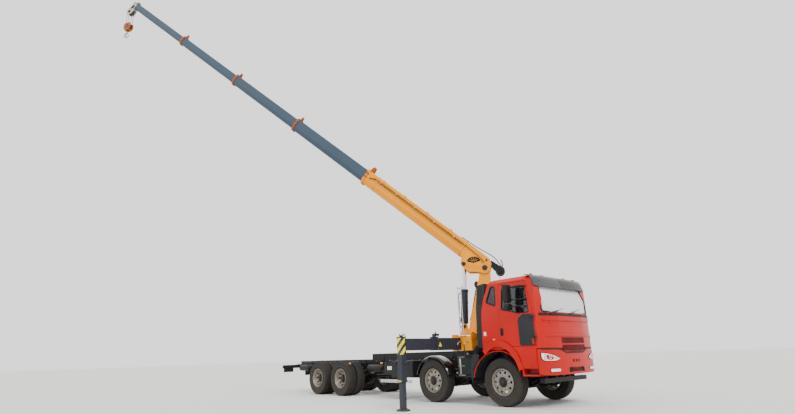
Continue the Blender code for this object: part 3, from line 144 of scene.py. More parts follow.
def plate(outline, low, high, axis, edge=0.004):
    """A flat shape with thickness; its rims are quarter rounds of radius edge, worked out as
    inset = edge (1 - sin a) and height = edge (1 - cos a) for a from 0 to 90 degrees."""
    outline = np.asarray(outline, float)
    a = np.radians((0, 30, 60, 90))
    rings = []
    for inset, height in zip(edge * (1 - np.sin(a)), edge * (1 - np.cos(a))):
        rings.append((inset, low + height))
    for inset, height in zip(edge * (1 - np.sin(a[::-1])), edge * (1 - np.cos(a[::-1]))):
        rings.append((inset, high - height))
    stack = [np.column_stack((inward(outline, inset), np.full(len(outline), w))) for inset, w in rings]
    return capped(swap(np.array(stack), axis))


def rounded(width, height, radius, centre=(0, 0), steps=5):
    """Outline of a rectangle with round corners, counter-clockwise."""
    a = np.concatenate([np.linspace(q, q + math.pi / 2, steps)
                        for q in (0, math.pi / 2, math.pi, 1.5 * math.pi)])
    sign = np.repeat([[1, 1], [-1, 1], [-1, -1], [1, -1]], steps, axis=0)
    corner = np.array((width / 2 - radius, height / 2 - radius))
    return np.column_stack((np.cos(a), np.sin(a))) * radius + sign * corner + np.array(centre)


def block(low, high, edge=0.006):
    """A box with rounded upright edges and rims."""
    low, high = np.array(low, float), np.array(high, float)
    size, centre = high - low, (high + low) / 2
    edge = min(edge, size.min() / 2.2)
    outline = rounded(size[0], size[1], edge, centre[:2], 4)
    return plate(outline, low[2], high[2], "Z", edge)


def span(side, near, far):
    """Two places across, taken to one side and put in rising order."""
    return sorted((side * near, side * far))


def beside(side, low, high, edge=0.006):
    """A block whose places across are taken to one side."""
    y0, y1 = span(side, low[1], high[1])
    return block((low[0], y0, low[2]), (high[0], y1, high[2]), edge)


def lathe(profile, axis, centre, steps=32):
    """A closed profile of (radius, place along the axis) turned right round: x = r cos a, y = r sin a."""
    profile = np.asarray(profile, float)
    a = np.arange(steps) / steps * TAU
    u = np.cos(a)[:, None] * profile[:, 0]
    v = np.sin(a)[:, None] * profile[:, 0]
    w = np.broadcast_to(profile[:, 1], u.shape)
    return sheet_of(swap(np.stack((u, v, w), -1), axis) + np.array(centre), True, True)


def round_bar(axis, centre, radius, low, high, edge=0.003, steps=24):
    """A turned bar with rounded rims; a 0.2 mm hole up its middle keeps the ends closed."""
    e = min(edge, radius * 0.5, (high - low) * 0.45)
    profile = [(1e-4, low), (radius - e, low), (radius - 0.3 * e, low + 0.3 * e), (radius, low + e),
               (radius, high - e), (radius - 0.3 * e, high - 0.3 * e), (radius - e, high), (1e-4, high)]
    return lathe(profile, axis, centre, steps)


def curve_through(points, count):
    """Catmull-Rom curve through the points, sampled evenly in its parameter."""
    p = np.asarray(points, float)
    p = np.vstack((2 * p[0] - p[1], p, 2 * p[-1] - p[-2]))
    t = np.linspace(0, len(p) - 3 - 1e-9, count)
    i = t.astype(int)
    f = (t - i)[:, None]
    a, b, c, d = p[i], p[i + 1], p[i + 2], p[i + 3]
    return 0.5 * (
            2 * b + (c - a) * f + (2 * a - 5 * b + 4 * c - d) * f ** 2 + (3 * b - a - 3 * c + d) * f ** 3)


def pipe(points, radius, count=0, sides=10):
    """A round tube along a path, its rings square to the path and each turned on from the last."""
    path = curve_through(points, count) if count else np.asarray(points, float)
    tangent = np.gradient(path, axis=0)
    tangent /= np.linalg.norm(tangent, axis=1)[:, None]
    first = np.cross(tangent[0], (0.31, 0.17, 0.93))
    normals = [first / np.linalg.norm(first)]
    for step in tangent[1:]:
        flat = normals[-1] - step * np.dot(normals[-1], step)
        normals.append(flat / np.linalg.norm(flat))
    normals = np.array(normals)
    across = np.cross(tangent, normals)
    a = (np.arange(sides) / sides * TAU)[None, :, None]
    rings = path[:,
                 None] + np.ravel(radius)[:, None,
                                          None] * (np.cos(a) * normals[:, None] + np.sin(a) * across[:, None])
    return capped(rings)


def repeated(shape, offsets):
    """Copies of one shape at many places, as one."""
    verts, faces = shape
    offsets = np.asarray(offsets, float)
    moved = (verts[None] + offsets[:, None]).reshape(-1, 3)
    size = len(verts)
    return moved, [[i + size * copy for i in face] for copy in range(len(offsets)) for face in faces]


def bolts(places, axis, radius=0.012, height=0.010, out=1):
    """Hexagon heads with a chamfer on a washer."""
    h = height * out
    profile = [(1e-4, 0), (radius * 1.5, 0),
               (radius * 1.5, h * 0.2), (radius, h * 0.2), (radius, h * 0.85), (radius * 0.8, h), (1e-4, h)]
    return repeated(lathe(profile, axis, (0, 0, 0), 6), places)


def ring_places(centre, radius, count, axis, start=0.0):
    """Places evenly round a circle that faces along the axis."""
    a = start + np.arange(count) / count * TAU
    flat = np.stack((radius * np.cos(a), radius * np.sin(a), np.zeros(count)), -1)
    return swap(flat, axis) + np.array(centre)


def joined(shapes):
    verts, faces, start = [], [], 0
    for points, polygons in shapes:
        verts.append(points)
        faces += [[i + start for i in polygon] for polygon in polygons]
        start += len(points)
    return np.vstack(verts), faces


def cab_side_y(x, z):
    """Half width of the cab at a place on its side: the plan curve, less the lean above the belt."""
    plan = np.interp(x, CAB_NOSE_X, CAB_NOSE_Y, left=CAB_HALF)
    return np.minimum(plan, CAB_HALF) - CAB_LEAN * np.maximum(0, z - CAB_BELT)


def cab_front_x(y, z):
    """How far forward the cab's face is: the bow in plan or the slope of the screen, whichever is less."""
    bow = np.interp(np.abs(y), CAB_NOSE_Y[::-1], CAB_NOSE_X[::-1])
    slope = np.interp(z, (1.27, 1.85, 2.02, 2.81), (1.29, 1.29, 1.27, 1.04))
    return np.minimum(bow, slope)


def on_side(shape, side, stand=0.0):
    """Lays a shape drawn as (x, stand-off, z) on the cab's side."""
    verts, faces = shape
    verts = verts.copy()
    verts[:, 1] = side * (cab_side_y(verts[:, 0], verts[:, 2]) + stand + verts[:, 1])
    return verts, faces


def on_front(shape, stand=0.0):
    """Lays a shape drawn as (stand-off, y, z) on the cab's bowed face."""
    verts, faces = shape
    verts = verts.copy()
    verts[:, 0] = cab_front_x(verts[:, 1], verts[:, 2]) + stand + verts[:, 0]
    return verts, faces


# ---------------------------------------------------------------- making pieces
def clean_normals(mesh):
    bm = bmesh.new()
    bm.from_mesh(mesh)
    bmesh.ops.remove_doubles(bm, verts=bm.verts, dist=2e-5)
    bmesh.ops.recalc_face_normals(bm, faces=bm.faces)
    bm.to_mesh(mesh)
    bm.free()


def piece(name, shapes, finish, body, place=None, hides=(), crease=38):
    """One finished object from joined shapes, at its place, riding on its body."""
    verts, faces = joined(shapes)
    matrix = LORRY if place is None else place
    verts = verts @ matrix[:3, :3].T + matrix[:3, 3]
    mesh = bpy.data.meshes.new(name)
    mesh.from_pydata(verts.tolist(), [], faces)
    clean_normals(mesh)
    mesh.shade_smooth()
    mesh.set_sharp_from_angle(angle=math.radians(crease))
    mesh.materials.append(finish)
    obj = bpy.data.objects.new(name, mesh)
    bpy.context.scene.collection.objects.link(obj)
    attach(obj, body)
    if hides:
        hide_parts(*hides)
    return obj


def eased(node, finish, body, edge=0.006, second=None, picks=None):
    """A copy of a hard-edged node with its edges rounded to a radius; faces that picks() names by their
    centre and normal, both from the first axle, take the second finish."""
    mesh = bpy.data.meshes.new(f"{node}_skin")
    bm = bmesh.new()
    bm.from_mesh(frame["nodes"][node].data)
    bmesh.ops.remove_doubles(bm, verts=bm.verts, dist=5e-5)
    bmesh.ops.dissolve_limit(bm, angle_limit=math.radians(0.5), verts=bm.verts, edges=bm.edges)
    bm.to_mesh(mesh)
    bm.free()
    mesh.materials.clear()
    mesh.materials.append(finish)
    if second:
        mesh.materials.append(second)
        for face in mesh.polygons:
            if picks(np.array(face.center) - LORRY[:3, 3], np.array(face.normal)):
                face.material_index = 1
    mesh.shade_smooth()
    mesh.set_sharp_from_angle(angle=math.radians(40))
    obj = bpy.data.objects.new(f"{node}_skin", mesh)
    bpy.context.scene.collection.objects.link(obj)
    bevel = obj.modifiers.new("eased edges", "BEVEL")
    bevel.width = edge
    bevel.segments = 2
    bevel.limit_method = "ANGLE"
    bevel.angle_limit = math.radians(32)
    bevel.harden_normals = False
    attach(obj, body)
    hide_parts(node)
    return obj


def coat_node(node, finish):
    """Gives a node whose shape is right its finish."""
    mesh = frame["nodes"][node].data
    mesh.materials.clear()
    mesh.materials.append(finish)


# ---------------------------------------------------------------- finishes
def linear(hex_colour):
    """sRGB hex to linear red, green, blue and alpha."""
    c = np.array([int(hex_colour[i:i + 2], 16) for i in (0, 2, 4)]) / 255
    low, high = c / 12.92, ((c + 0.055) / 1.055) ** 2.4
    return (*np.where(c <= 0.04045, low, high).tolist(), 1.0)


def add(tree, kind, settings=(), links=()):
    """One shader node with its settings, by socket or by property, and its incoming links."""
    made = tree.nodes.new(kind)
    for key, value in dict(settings).items():
        if isinstance(key, int) or key in made.inputs:
            made.inputs[key].default_value = value
        else:
            setattr(made, key, value)
    for key, source in dict(links).items():
        tree.links.new(source, made.inputs[key])
    return made


def finish_base(name, colour, rough, metallic=0.0, **extra):
    """A new material with its shader's plain values set on their own sockets."""
    made = bpy.data.materials.new(name)
    made.use_nodes = True
    tree = made.node_tree
    shader = tree.nodes["Principled BSDF"]
    shader.inputs["Base Color"].default_value = linear(colour)
    shader.inputs["Roughness"].default_value = rough
    shader.inputs["Metallic"].default_value = metallic
    for key, value in extra.items():
        shader.inputs[key.replace("_", " ")].default_value = value
    where = add(tree, "ShaderNodeTexCoord").outputs["Object"]
    return made, tree, shader, where


def weather(tree, shader, where, colours, size_mm, rough, soil=None):
    """Two close tones in clouds of the given size, roughness that follows them, and road dust low down."""
    clouds = add(tree, "ShaderNodeTexNoise",
                 {"Scale": 1000 / size_mm, "Detail": 6.0, "Roughness": 0.6}, {"Vector": where}).outputs["Fac"]
    tone = add(tree, "ShaderNodeMix",
               {"data_type": "RGBA", 6: linear(colours[0]), 7: linear(colours[1])}, {0: clouds}).outputs[2]
    if soil:
        height = add(tree, "ShaderNodeSeparateXYZ", links={0: where}).outputs["Z"]
        low = add(tree, "ShaderNodeMapRange", {"From Min": soil[1], "From Max": 0.0, "To Min": 0.0,
                                               "To Max": soil[2]}, {"Value": height}).outputs["Result"]
        patch = add(tree,
                    "ShaderNodeTexNoise", {"Scale": 9.0, "Detail": 8.0}, {"Vector": where}).outputs["Fac"]
        amount = add(tree, "ShaderNodeMath", {"operation": "MULTIPLY"}, {0: low, 1: patch}).outputs[0]
        tone = add(tree, "ShaderNodeMix",
                   {"data_type": "RGBA", 7: linear(soil[0])}, {0: amount, 6: tone}).outputs[2]
    tree.links.new(tone, shader.inputs["Base Color"])
    gloss = add(tree, "ShaderNodeMapRange", {"To Min": rough[0], "To Max": rough[1]}, {"Value": clouds})
    tree.links.new(gloss.outputs["Result"], shader.inputs["Roughness"])


def grain(tree, shader, where, size_mm, depth_mm, strength=0.3):
    """Fine bump from noise whose lumps have a real size and depth."""
    lumps = add(tree, "ShaderNodeTexNoise", {"Scale": 1000 / size_mm, "Detail": 3.0}, {"Vector": where})
    bump = add(tree, "ShaderNodeBump",
               {"Strength": strength, "Distance": depth_mm / 1000}, {"Height": lumps.outputs["Fac"]})
    tree.links.new(bump.outputs["Normal"], shader.inputs["Normal"])


def enamel(name, light, dark, rough=(0.22, 0.34), coat=0.5, soil=("8f8a80", 1.2, 0.25)):
    """Sprayed two-pack paint: a hard gloss with faint orange peel, a little road dust near the ground."""
    made, tree, shader, where = finish_base(name, light, rough[0],
                                            Coat_Weight=coat, Coat_Roughness=0.08, Specular_IOR_Level=0.18)
    weather(tree, shader, where, (light, dark), 420, rough, soil)
    grain(tree, shader, where, 9, 0.25, 0.12)   # orange peel is 2 to 3 mm; drawn at 9 mm to show
    return made


def moulded(name, light, dark, rough=(0.45, 0.62)):
    """Injection-moulded plastic: an even grained skin that scatters the light."""
    made, tree, shader, where = finish_base(name, light, rough[0], Specular_IOR_Level=0.3)
    weather(tree, shader, where, (light, dark), 180, rough, ("4c4943", 0.9, 0.2))
    grain(tree, shader, where, 4, 0.3, 0.25)
    return made


def tyre_rubber():
    """Carbon-black rubber, matt and dusty, with a brownish bloom on the walls."""
    made, tree, shader, where = finish_base("tyre_rubber", "2b2826", 0.8, Specular_IOR_Level=0.35)
    weather(tree, shader, where, ("1b1917", "2a2623"), 140, (0.72, 0.92), ("574d42", 1.1, 0.35))
    grain(tree, shader, where, 6, 0.5, 0.35)
    return made


def rim_enamel():
    """Baked enamel on pressed wheel steel: a beige-grey, darkened overall and clouded down to a dark
    brown-grey as painted shade for the deep dish, with road dust low down.
    """
    made, tree, shader, where = finish_base("wheel_enamel_shade_darkened", "a29b90", 0.4, 0.25)
    weather(tree, shader, where, ("a0988c", "6a6156"), 70, (0.32, 0.55), ("5b5045", 1.1, 0.35))
    grain(tree, shader, where, 5, 0.3, 0.2)
    return made


def bare_metal(name, light, dark, rough=(0.25, 0.42), size_mm=60):
    """Plated or cast metal: bright, with patches that are a shade duller."""
    made, tree, shader, where = finish_base(name, light, rough[0], 1.0)
    weather(tree, shader, where, (light, dark), size_mm, rough)
    grain(tree, shader, where, 3, 0.1, 0.15)
    return made


def wire_rope():
    """Laid steel wire: strands drawn as slanted waves 12 mm apart, real ones are 4 mm."""
    made, tree, shader, where = finish_base("wire_rope", "6c6862", 0.5, 0.7)
    strands = add(tree, "ShaderNodeTexWave",
                  {"Scale": 26.0, "Distortion": 0.6, "bands_direction": "DIAGONAL"}, {"Vector": where})
    tone = add(tree, "ShaderNodeMix",
               {"data_type": "RGBA", 6: linear("3c3935"), 7: linear("8d8982")}, {0: strands.outputs["Fac"]})
    tree.links.new(tone.outputs[2], shader.inputs["Base Color"])
    bump = add(tree,
               "ShaderNodeBump", {"Strength": 0.5, "Distance": 0.002}, {"Height": strands.outputs["Fac"]})
    tree.links.new(bump.outputs["Normal"], shader.inputs["Normal"])
    return made


def clear_glass(name, tint, rough=0.02, transmission=0.92):
    """Float glass: sharp reflections and a slight tint, with faint wiped streaks."""
    made, tree, shader, where = finish_base(name, tint, rough, Transmission_Weight=transmission, IOR=1.5)
    streaks = add(tree,
                  "ShaderNodeTexNoise", {"Scale": 14.0, "Detail": 5.0, "Distortion": 1.5}, {"Vector": where})
    haze = add(tree, "ShaderNodeMapRange",
               {"To Min": rough, "To Max": rough + 0.06}, {"Value": streaks.outputs["Fac"]})
    tree.links.new(haze.outputs["Result"], shader.inputs["Roughness"])
    return made


def lamp_lens(name, colour, ribs_mm=18):
    """Ribbed polycarbonate lens: fine uprights that break up the light."""
    made, tree, shader, where = finish_base(name, colour, 0.12, Coat_Weight=0.8, Coat_Roughness=0.05)
    ribs = add(tree, "ShaderNodeTexWave",
               {"Scale": 1000 / ribs_mm / 6.3, "bands_direction": "Y"}, {"Vector": where})
    bump = add(tree, "ShaderNodeBump", {"Strength": 0.4, "Distance": 0.001}, {"Height": ribs.outputs["Fac"]})
    tree.links.new(bump.outputs["Normal"], shader.inputs["Normal"])
    return made


def hazard_stripes():
    """Yellow bands on black enamel, 45 degrees, 105 mm to a pair; hard edges as from cut film."""
    made, tree, shader, where = finish_base("hazard_film", "e8d400", 0.35)
    axes = add(tree, "ShaderNodeSeparateXYZ", links={0: where})
    both = add(tree, "ShaderNodeMath", {"operation": "ADD"}, {0: axes.outputs["X"], 1: axes.outputs["Y"]})
    slope = add(tree, "ShaderNodeMath", {"operation": "SUBTRACT"}, {0: both.outputs[0], 1: axes.outputs["Z"]})
    turns = add(tree,
                "ShaderNodeMath", {"operation": "MULTIPLY_ADD", 1: 1 / 0.21, 2: 50.1}, {0: slope.outputs[0]})
    part = add(tree, "ShaderNodeMath", {"operation": "FRACT"}, {0: turns.outputs[0]})
    band = add(tree, "ShaderNodeMath", {"operation": "GREATER_THAN", 1: 0.5}, {0: part.outputs[0]})
    tone = add(tree, "ShaderNodeMix",
               {"data_type": "RGBA", 6: linear("26282c"), 7: linear("f0de18")}, {0: band.outputs[0]})
    tree.links.new(tone.outputs[2], shader.inputs["Base Color"])
    grain(tree, shader, where, 9, 0.2, 0.1)
    return made


def seat_cloth():
    """Woven seat cloth: a fine check of raised and sunk threads, 8 mm here for 2 mm in the cloth."""
    made, tree, shader, where = finish_base("seat_cloth", "34363a", 0.9, Sheen_Weight=0.4)
    weave = add(tree, "ShaderNodeTexChecker",
                {"Scale": 125.0, "Color1": linear("3d4046"), "Color2": linear("24262a")}, {"Vector": where})
    tree.links.new(weave.outputs["Color"], shader.inputs["Base Color"])
    bump = add(tree, "ShaderNodeBump", {"Strength": 0.4, "Distance": 0.001}, {"Height": weave.outputs["Fac"]})
    tree.links.new(bump.outputs["Normal"], shader.inputs["Normal"])
    return made


CAB_RED = enamel("cab_enamel_red", "b80700", "ac0600", (0.3, 0.4), 0.05, ("6a3024", 1.0, 0.1))
CRANE_YELLOW = enamel("crane_enamel_yellow", "ee9a00", "e49000", (0.36, 0.48), 0.03, ("8a6a30", 1.2, 0.12))
BOOM_BLUE = enamel("boom_enamel_blue_grey", "3c4c5c", "354452", (0.38, 0.5), 0.1, None)
COLLAR_ORANGE = enamel("collar_enamel_orange", "a8560a", "8c4606", (0.38, 0.52), 0.1)
OUTRIGGER_GREY = enamel("outrigger_enamel_grey", "2c303a", "262a32", (0.4, 0.52), 0.1, ("6b655a", 0.8, 0.2))
CYLINDER_GREY = enamel("cylinder_enamel_grey", "272f38", "20272f", (0.34, 0.46), 0.15)
CHASSIS_BLACK = enamel("chassis_enamel_black", "101011", "181718", (0.4, 0.58), 0.1, ("4a453d", 1.2, 0.3))
GLOSS_BLACK = enamel("guard_enamel_black", "0d0d0f", "131315", (0.14, 0.26), 0.7, ("4f4a44", 1.2, 0.2))
TRIM_GREY = moulded("moulded_trim_grey", "1d2024", "181b1e")
TRIM_BLACK = moulded("moulded_trim_black", "101113", "0c0d0e")
# One smoked acrylic visor in two finishes: the lighter tone on its right half is painted light, the darker
# tone on its left half is painted shade.
VISOR_LIT_HALF = moulded("visor_acrylic_lit_half", "3d3b41", "323035", (0.2, 0.34))
VISOR_SHADED_HALF = moulded("visor_acrylic_shaded_half", "231d1a", "1c1714", (0.2, 0.34))
CABIN_GREY = moulded("cabin_trim_grey", "2e2f31", "27282a")
TYRE = tyre_rubber()
RIM = rim_enamel()
ZINC = bare_metal("zinc_plate", "b9b7b0", "8f8a80")
CHROME = bare_metal("hard_chrome", "dcdee0", "c9ccce", (0.06, 0.14), 200)
IRON = bare_metal("painted_casting", "4a4744", "33302d", (0.5, 0.7))
ALUMINIUM = bare_metal("mill_aluminium", "c5c7c8", "a9abac", (0.3, 0.45), 150)
HOOK_STEEL = bare_metal("forged_hook_steel", "a9a8b6", "86848f", (0.35, 0.5))
ROPE = wire_rope()
GLASS = clear_glass("cab_glass", "565a5e")
# Painted reflection: the windscreen's near-white tint and low transmission stand in for the bright sky it
# reflects.
SCREEN_PAINTED_REFLECTION = clear_glass("screen_glass_painted_reflection", "f6f8f8", 0.03, 0.45)
CLEAR_LENS = lamp_lens("lamp_lens_clear", "eef0ee")
AMBER = lamp_lens("lamp_lens_amber", "f08a10")
RED_LENS = lamp_lens("lamp_lens_red", "a01008")
HOSE = moulded("hose_rubber", "1d1d1e", "272625", (0.5, 0.7))
HAZARD = hazard_stripes()
LABEL = moulded("blank_label_white", "e9e6da", "d9d4c4")
CLOTH = seat_cloth()


# ---------------------------------------------------------------- camera, floor and light
def studio():
    """Camera at standing eye height ahead of the right front corner, looking up at the boom; plain light."""
    yaw, pitch, roll = (math.radians(a) for a in CAMERA_TURN)
    ahead = np.array((math.cos(pitch) * math.cos(yaw), math.cos(pitch) * math.sin(yaw), math.sin(pitch)))
    level = np.cross(ahead, (0, 0, 1))
    level /= np.linalg.norm(level)
    above = np.cross(level, ahead)
    right = level * math.cos(roll) + above * math.sin(roll)
    matrix = np.eye(4)
    matrix[:3, 0], matrix[:3, 1], matrix[:3, 2] = right, np.cross(right, ahead), -ahead
    matrix[:3, 3] = (LORRY @ np.array((*CAMERA_PLACE, 1.0)))[:3]
    camera = bpy.data.objects.new("camera", bpy.data.cameras.new("camera"))
    camera.data.sensor_width = 36.0
    camera.data.lens = CAMERA_LENS
    camera.data.clip_end = 400.0
    camera.matrix_world = Matrix(matrix.tolist())
    bpy.context.scene.collection.objects.link(camera)
    bpy.context.scene.camera = camera

    mesh = bpy.data.meshes.new("studio_floor")
    reach = 160.0
    mesh.from_pydata([(-reach, -reach, 0), (reach, -reach, 0), (reach, reach, 0), (-reach, reach, 0)],
                     [], [(0, 1, 2, 3)])
    floor_paint, tree, shader, where = finish_base("studio_floor", "cfcfcc", 0.85)
    weather(tree, shader, where, ("d2d2cf", "cbcbc7"), 2500, (0.8, 0.9))
    mesh.materials.append(floor_paint)
    floor = bpy.data.objects.new("studio_floor", mesh)
    bpy.context.scene.collection.objects.link(floor)

    for name, energy, spread, angles in (("key", 2.0, 20, (42, 0, 72)),
                                         ("fill", 0.4, 60, (58, 0, -20)), ("back", 0.4, 60, (50, 0, 200))):
        sun = bpy.data.lights.new(name, "SUN")
        sun.energy, sun.angle = energy, math.radians(spread)
        lamp = bpy.data.objects.new(name, sun)
        lamp.rotation_euler = [math.radians(a) for a in angles]
        bpy.context.scene.collection.objects.link(lamp)
    world = bpy.data.worlds.new("studio")
    world.use_nodes = True
    back = world.node_tree.nodes["Background"]
    back.inputs["Color"].default_value = linear("fbfbfb")
    back.inputs["Strength"].default_value = 1.7
    bpy.context.scene.world = world


# ---------------------------------------------------------------- wheels
def tyre(lugs, pitches=60):
    """Radius over (angle, place across): crown less a groove depth where four angle steps and the place
    fall on a groove, bead, bulged walls with two low rings, and a closed inner face. Lugs slant outwards."""
    half = 0.130
    cuts = (-0.045, 0.0, 0.045) if lugs else (-0.078, -0.027, 0.027, 0.078)
    across = [half, half - 0.012]
    for cut in reversed(cuts):
        across += [cut + 0.008, cut + 0.005, cut - 0.005, cut - 0.008]
    across += [-half + 0.012, -half]
    across = np.array(across)
    crown = TYRE_R - 0.001 - 0.010 * (across / half) ** 4
    groove = np.zeros(len(across))
    for cut in cuts:
        groove = np.maximum(groove, (np.abs(across - cut) < 0.006) * 0.013)
    wall = np.array([(0.524, 0.141), (0.505, 0.1435), (0.498, 0.1475), (0.490, 0.1475),
                     (0.483, 0.1440), (0.450, 0.1490), (0.415, 0.1495), (0.378, 0.1465), (0.372, 0.1490),
                     (0.364, 0.1490), (0.358, 0.1450), (0.325, 0.1340), (0.304, 0.1180), (0.296, 0.1120)])
    r = np.concatenate((wall[::-1, 0], crown, wall[:, 0], [0.300, 0.300]))
    w = np.concatenate((wall[::-1, 1], across, -wall[:, 1], [-0.05, 0.05]))
    steps = pitches * 4
    low = (np.arange(steps) % 4 >= 2)[:, None]
    first = len(wall)
    block = np.zeros(len(r))
    edge = np.abs(across) > (0.02 if lugs else 0.104)
    block[first:first + len(across)] = edge * (0.016 if lugs else 0.008)
    block[[first - 1, first + len(across)]] = 0.013 if lugs else 0.006
    depth = np.zeros(len(r))
    depth[first:first + len(across)] = groove
    radius = r[None] - np.maximum(depth[None], low * block[None])
    slant = (TAU / pitches * 0.9) * np.clip(np.abs(w), 0, half) / half if lugs else np.zeros(len(w))
    slant[:first] = slant[first]
    slant[first + len(across):] = slant[first]
    a = np.arange(steps)[:, None] / steps * TAU + slant[None]
    return sheet_of(np.stack((radius * np.cos(a), np.broadcast_to(w, a.shape), radius * np.sin(a)), -1),
                    True, True)


def holed_disc(inner, outer, height, holes=10, hole_at=0.218, hole_r=0.029, thick=0.009):
    """A dished disc with round hand holes. Each sector is a band from the hole's edge out to the sector's
    border, back along the rear face; a place (r, angle) has the dish's height(r)."""
    phi = np.arange(32) / 32 * TAU
    c, s = np.cos(phi), np.sin(phi)
    half_angle = math.pi / holes
    reach_r = np.where(s > 0, outer - hole_at, hole_at - inner) / np.maximum(np.abs(s), 1e-9)
    reach_a = half_angle * hole_at / np.maximum(np.abs(c), 1e-9)
    far = np.minimum(reach_r, reach_a)
    t = np.array((0.0, 0.12, 0.5, 1.0))[:, None]
    along = hole_r + (far - hole_r)[None] * t
    r, turn_by = hole_at + along * s, along * c / hole_at
    face = np.where(t == 0.0, -0.004, 0.0) + height(r)
    band_r, band_a = np.vstack((r[::-1], r)), np.vstack((turn_by[::-1], turn_by))
    band_w = np.vstack((face[::-1], face - thick))
    made = []
    for sector in range(holes):
        a = band_a + 2 * half_angle * sector
        made.append(sheet_of(np.stack((band_r * np.cos(a), band_w, band_r * np.sin(a)), -1), True, True))
    return made


def rim_barrel():
    """Turned rim: flanges, bead seats and the well, 10 mm thick."""
    outer = [(0.300, 0.122), (0.303, 0.129),
             (0.299, 0.137), (0.288, 0.139), (0.279, 0.128), (0.277, 0.105), (0.262, 0.080), (0.256, 0.060),
             (0.256, -0.06), (0.272, -0.100), (0.277, -0.125), (0.288, -0.139), (0.299, -0.137),
             (0.303, -0.129), (0.300, -0.122), (0.292, -0.115), (0.268, -0.04), (0.268, 0.04), (0.292, 0.115)]
    return lathe(outer, "Y", (0, 0, 0), 48)


def wheel_pieces(name, body, node, place, tyre_places, outset):
    """Tyres, rims, nuts and hub of one wheel station; places are across, outwards from the middle."""
    lugs = not outset
    pieces = [joined([tyre(lugs, 48 if lugs else 60)])]
    rubber = [(pieces[0][0] + (0, w, 0), pieces[0][1]) for w in tyre_places]
    piece(f"tyre_{name}", rubber, TYRE, body, place, (node,), 50)
    if outset:
        seat, dish = 0.098, lambda r: 0.098 + 0.012 * np.sin(np.clip((0.262 - r) / 0.08, 0, 1) * math.pi / 2)
        at = tyre_places[0]
        sectors = holed_disc(0.178, 0.262, dish)
    else:
        seat, dish = -0.045, lambda r: -0.045 + 0.100 * (np.clip((r - 0.178) / 0.082, 0, 1)) ** 1.6
        at = tyre_places[0]
        sectors = holed_disc(0.178, 0.260, dish)
    shapes = [(v + (0, at, 0), f) for v, f in sectors]
    shapes += [(rim_barrel()[0] + (0, w, 0), rim_barrel()[1]) for w in tyre_places]
    face = seat + (0.012 if outset else 0.0)
    plate_profile = [(0.118, at + face - 0.012), (0.118, at + face + 0.001),
                     (0.160, at + face + 0.003), (0.179, at + face), (0.179, at + face - 0.010)]
    shapes.append(lathe(plate_profile, "Y", (0, 0, 0), 48))
    piece(f"rim_{name}", shapes, RIM, body, place)
    nut_places = ring_places((0, at + face + 0.002, 0), 0.149, 10, "Y", 0.16)
    shapes = [bolts(nut_places, "Y", 0.018, 0.030), bolts(nut_places, "Y", 0.009, 0.044)]
    valve = [(0.236 * math.cos(0.31), at + seat + 0.02, 0.236 * math.sin(0.31)),
             (0.246 * math.cos(0.31), at + seat + 0.055, 0.246 * math.sin(0.31))]
    shapes.append(pipe(valve, 0.005))
    piece(f"wheel_nuts_{name}", shapes, ZINC, body, place)
    if outset:
        hub = [(1e-4, at + 0.155),
               (0.045, at + 0.155), (0.060, at + 0.148), (0.068, at + 0.128), (0.088, at + 0.124),
               (0.095, at + 0.112), (0.118, at + 0.108), (0.118, at - 0.03), (1e-4, at - 0.03)]
    else:
        hub = [(1e-4, at + 0.062), (0.070, at + 0.060), (0.086, at + 0.050),
               (0.092, at + 0.020), (0.112, at + 0.016), (0.117, at), (0.117, at - 0.10), (1e-4, at - 0.10)]
    cap = at + (0.118 if outset else 0.018)
    shapes = [lathe(hub, "Y", (0, 0, 0), 40),
              bolts(ring_places((0, cap, 0), 0.078 if outset else 0.101, 8, "Y"), "Y", 0.007, 0.010)]
    drum = at - (0.02 if outset else 0.12)
    rows = [(0.05, drum), (0.190, drum), (0.196, drum - 0.01)]
    for step in range(4):
        w = drum - 0.03 - 0.03 * step
        rows += [(0.196, w + 0.006), (0.203, w + 0.004), (0.203, w - 0.004), (0.196, w - 0.006)]
    rows += [(0.190, drum - 0.150), (0.05, drum - 0.150)]
    shapes.append(lathe(rows, "Y", (0, 0, 0), 36))
    piece(f"hub_{name}", shapes, IRON, body, place)


def wheels():
    for number in range(1, len(AXLES) + 1):
        for label, side in (("left", 1), ("right", -1)):
            steered = number < 3
            node = f"{'front_wheel' if steered else 'rear_wheels'}_{number}_{label}"
            centre = joint_at(f"wheel_roll_{number}_{label}")
            centre[1, 3] = LORRY[1, 3] + side * (1.045 if steered else 0.93)
            place = centre @ turn("Z", 0 if side > 0 else 180)
            tyre_places = (0.0,) if steered else (0.1725, -0.1725)
            wheel_pieces(f"{number}_{label}", f"wheel_{number}_{label}", node, place, tyre_places, steered)


# ---------------------------------------------------------------- cab
def closed_bead(outline, radius, side, stand=0.0, columns=8):
    """A rubber bead round a window opening: a small ring carried round the outline on the cab's side."""
    path = np.asarray(outline, float)
    ahead = np.roll(path, -1, 0) - np.roll(path, 1, 0)
    ahead /= np.linalg.norm(ahead, axis=1)[:, None]
    out = np.stack((ahead[:, 1], -ahead[:, 0]), -1)
    a = np.arange(columns) / columns * TAU
    flat = path[:, None] + radius * np.cos(a)[None, :, None] * out[:, None]
    height = 0.5 * radius * np.sin(a)[None, :] + 0 * flat[..., 0]
    points = np.stack((flat[..., 0], height, flat[..., 1]), -1)
    return on_side(sheet_of(points, True, True), side, stand)


def softened(corners, radius, steps=5):
    """An outline whose corners are quadratic curves that start and end the radius away from each corner."""
    p = np.asarray(corners, float)
    before, after = np.roll(p, 1, 0) - p, np.roll(p, -1, 0) - p
    reach = np.minimum(radius,
                       0.45 * np.minimum(np.linalg.norm(before, axis=1), np.linalg.norm(after, axis=1)))
    start = p + before / np.linalg.norm(before, axis=1)[:, None] * reach[:, None]
    end = p + after / np.linalg.norm(after, axis=1)[:, None] * reach[:, None]
    t = np.linspace(0, 1, steps)[None, :, None]
    arc = (1 - t) ** 2 * start[:, None] + 2 * t * (1 - t) * p[:, None] + t ** 2 * end[:, None]
    return arc.reshape(-1, 2)


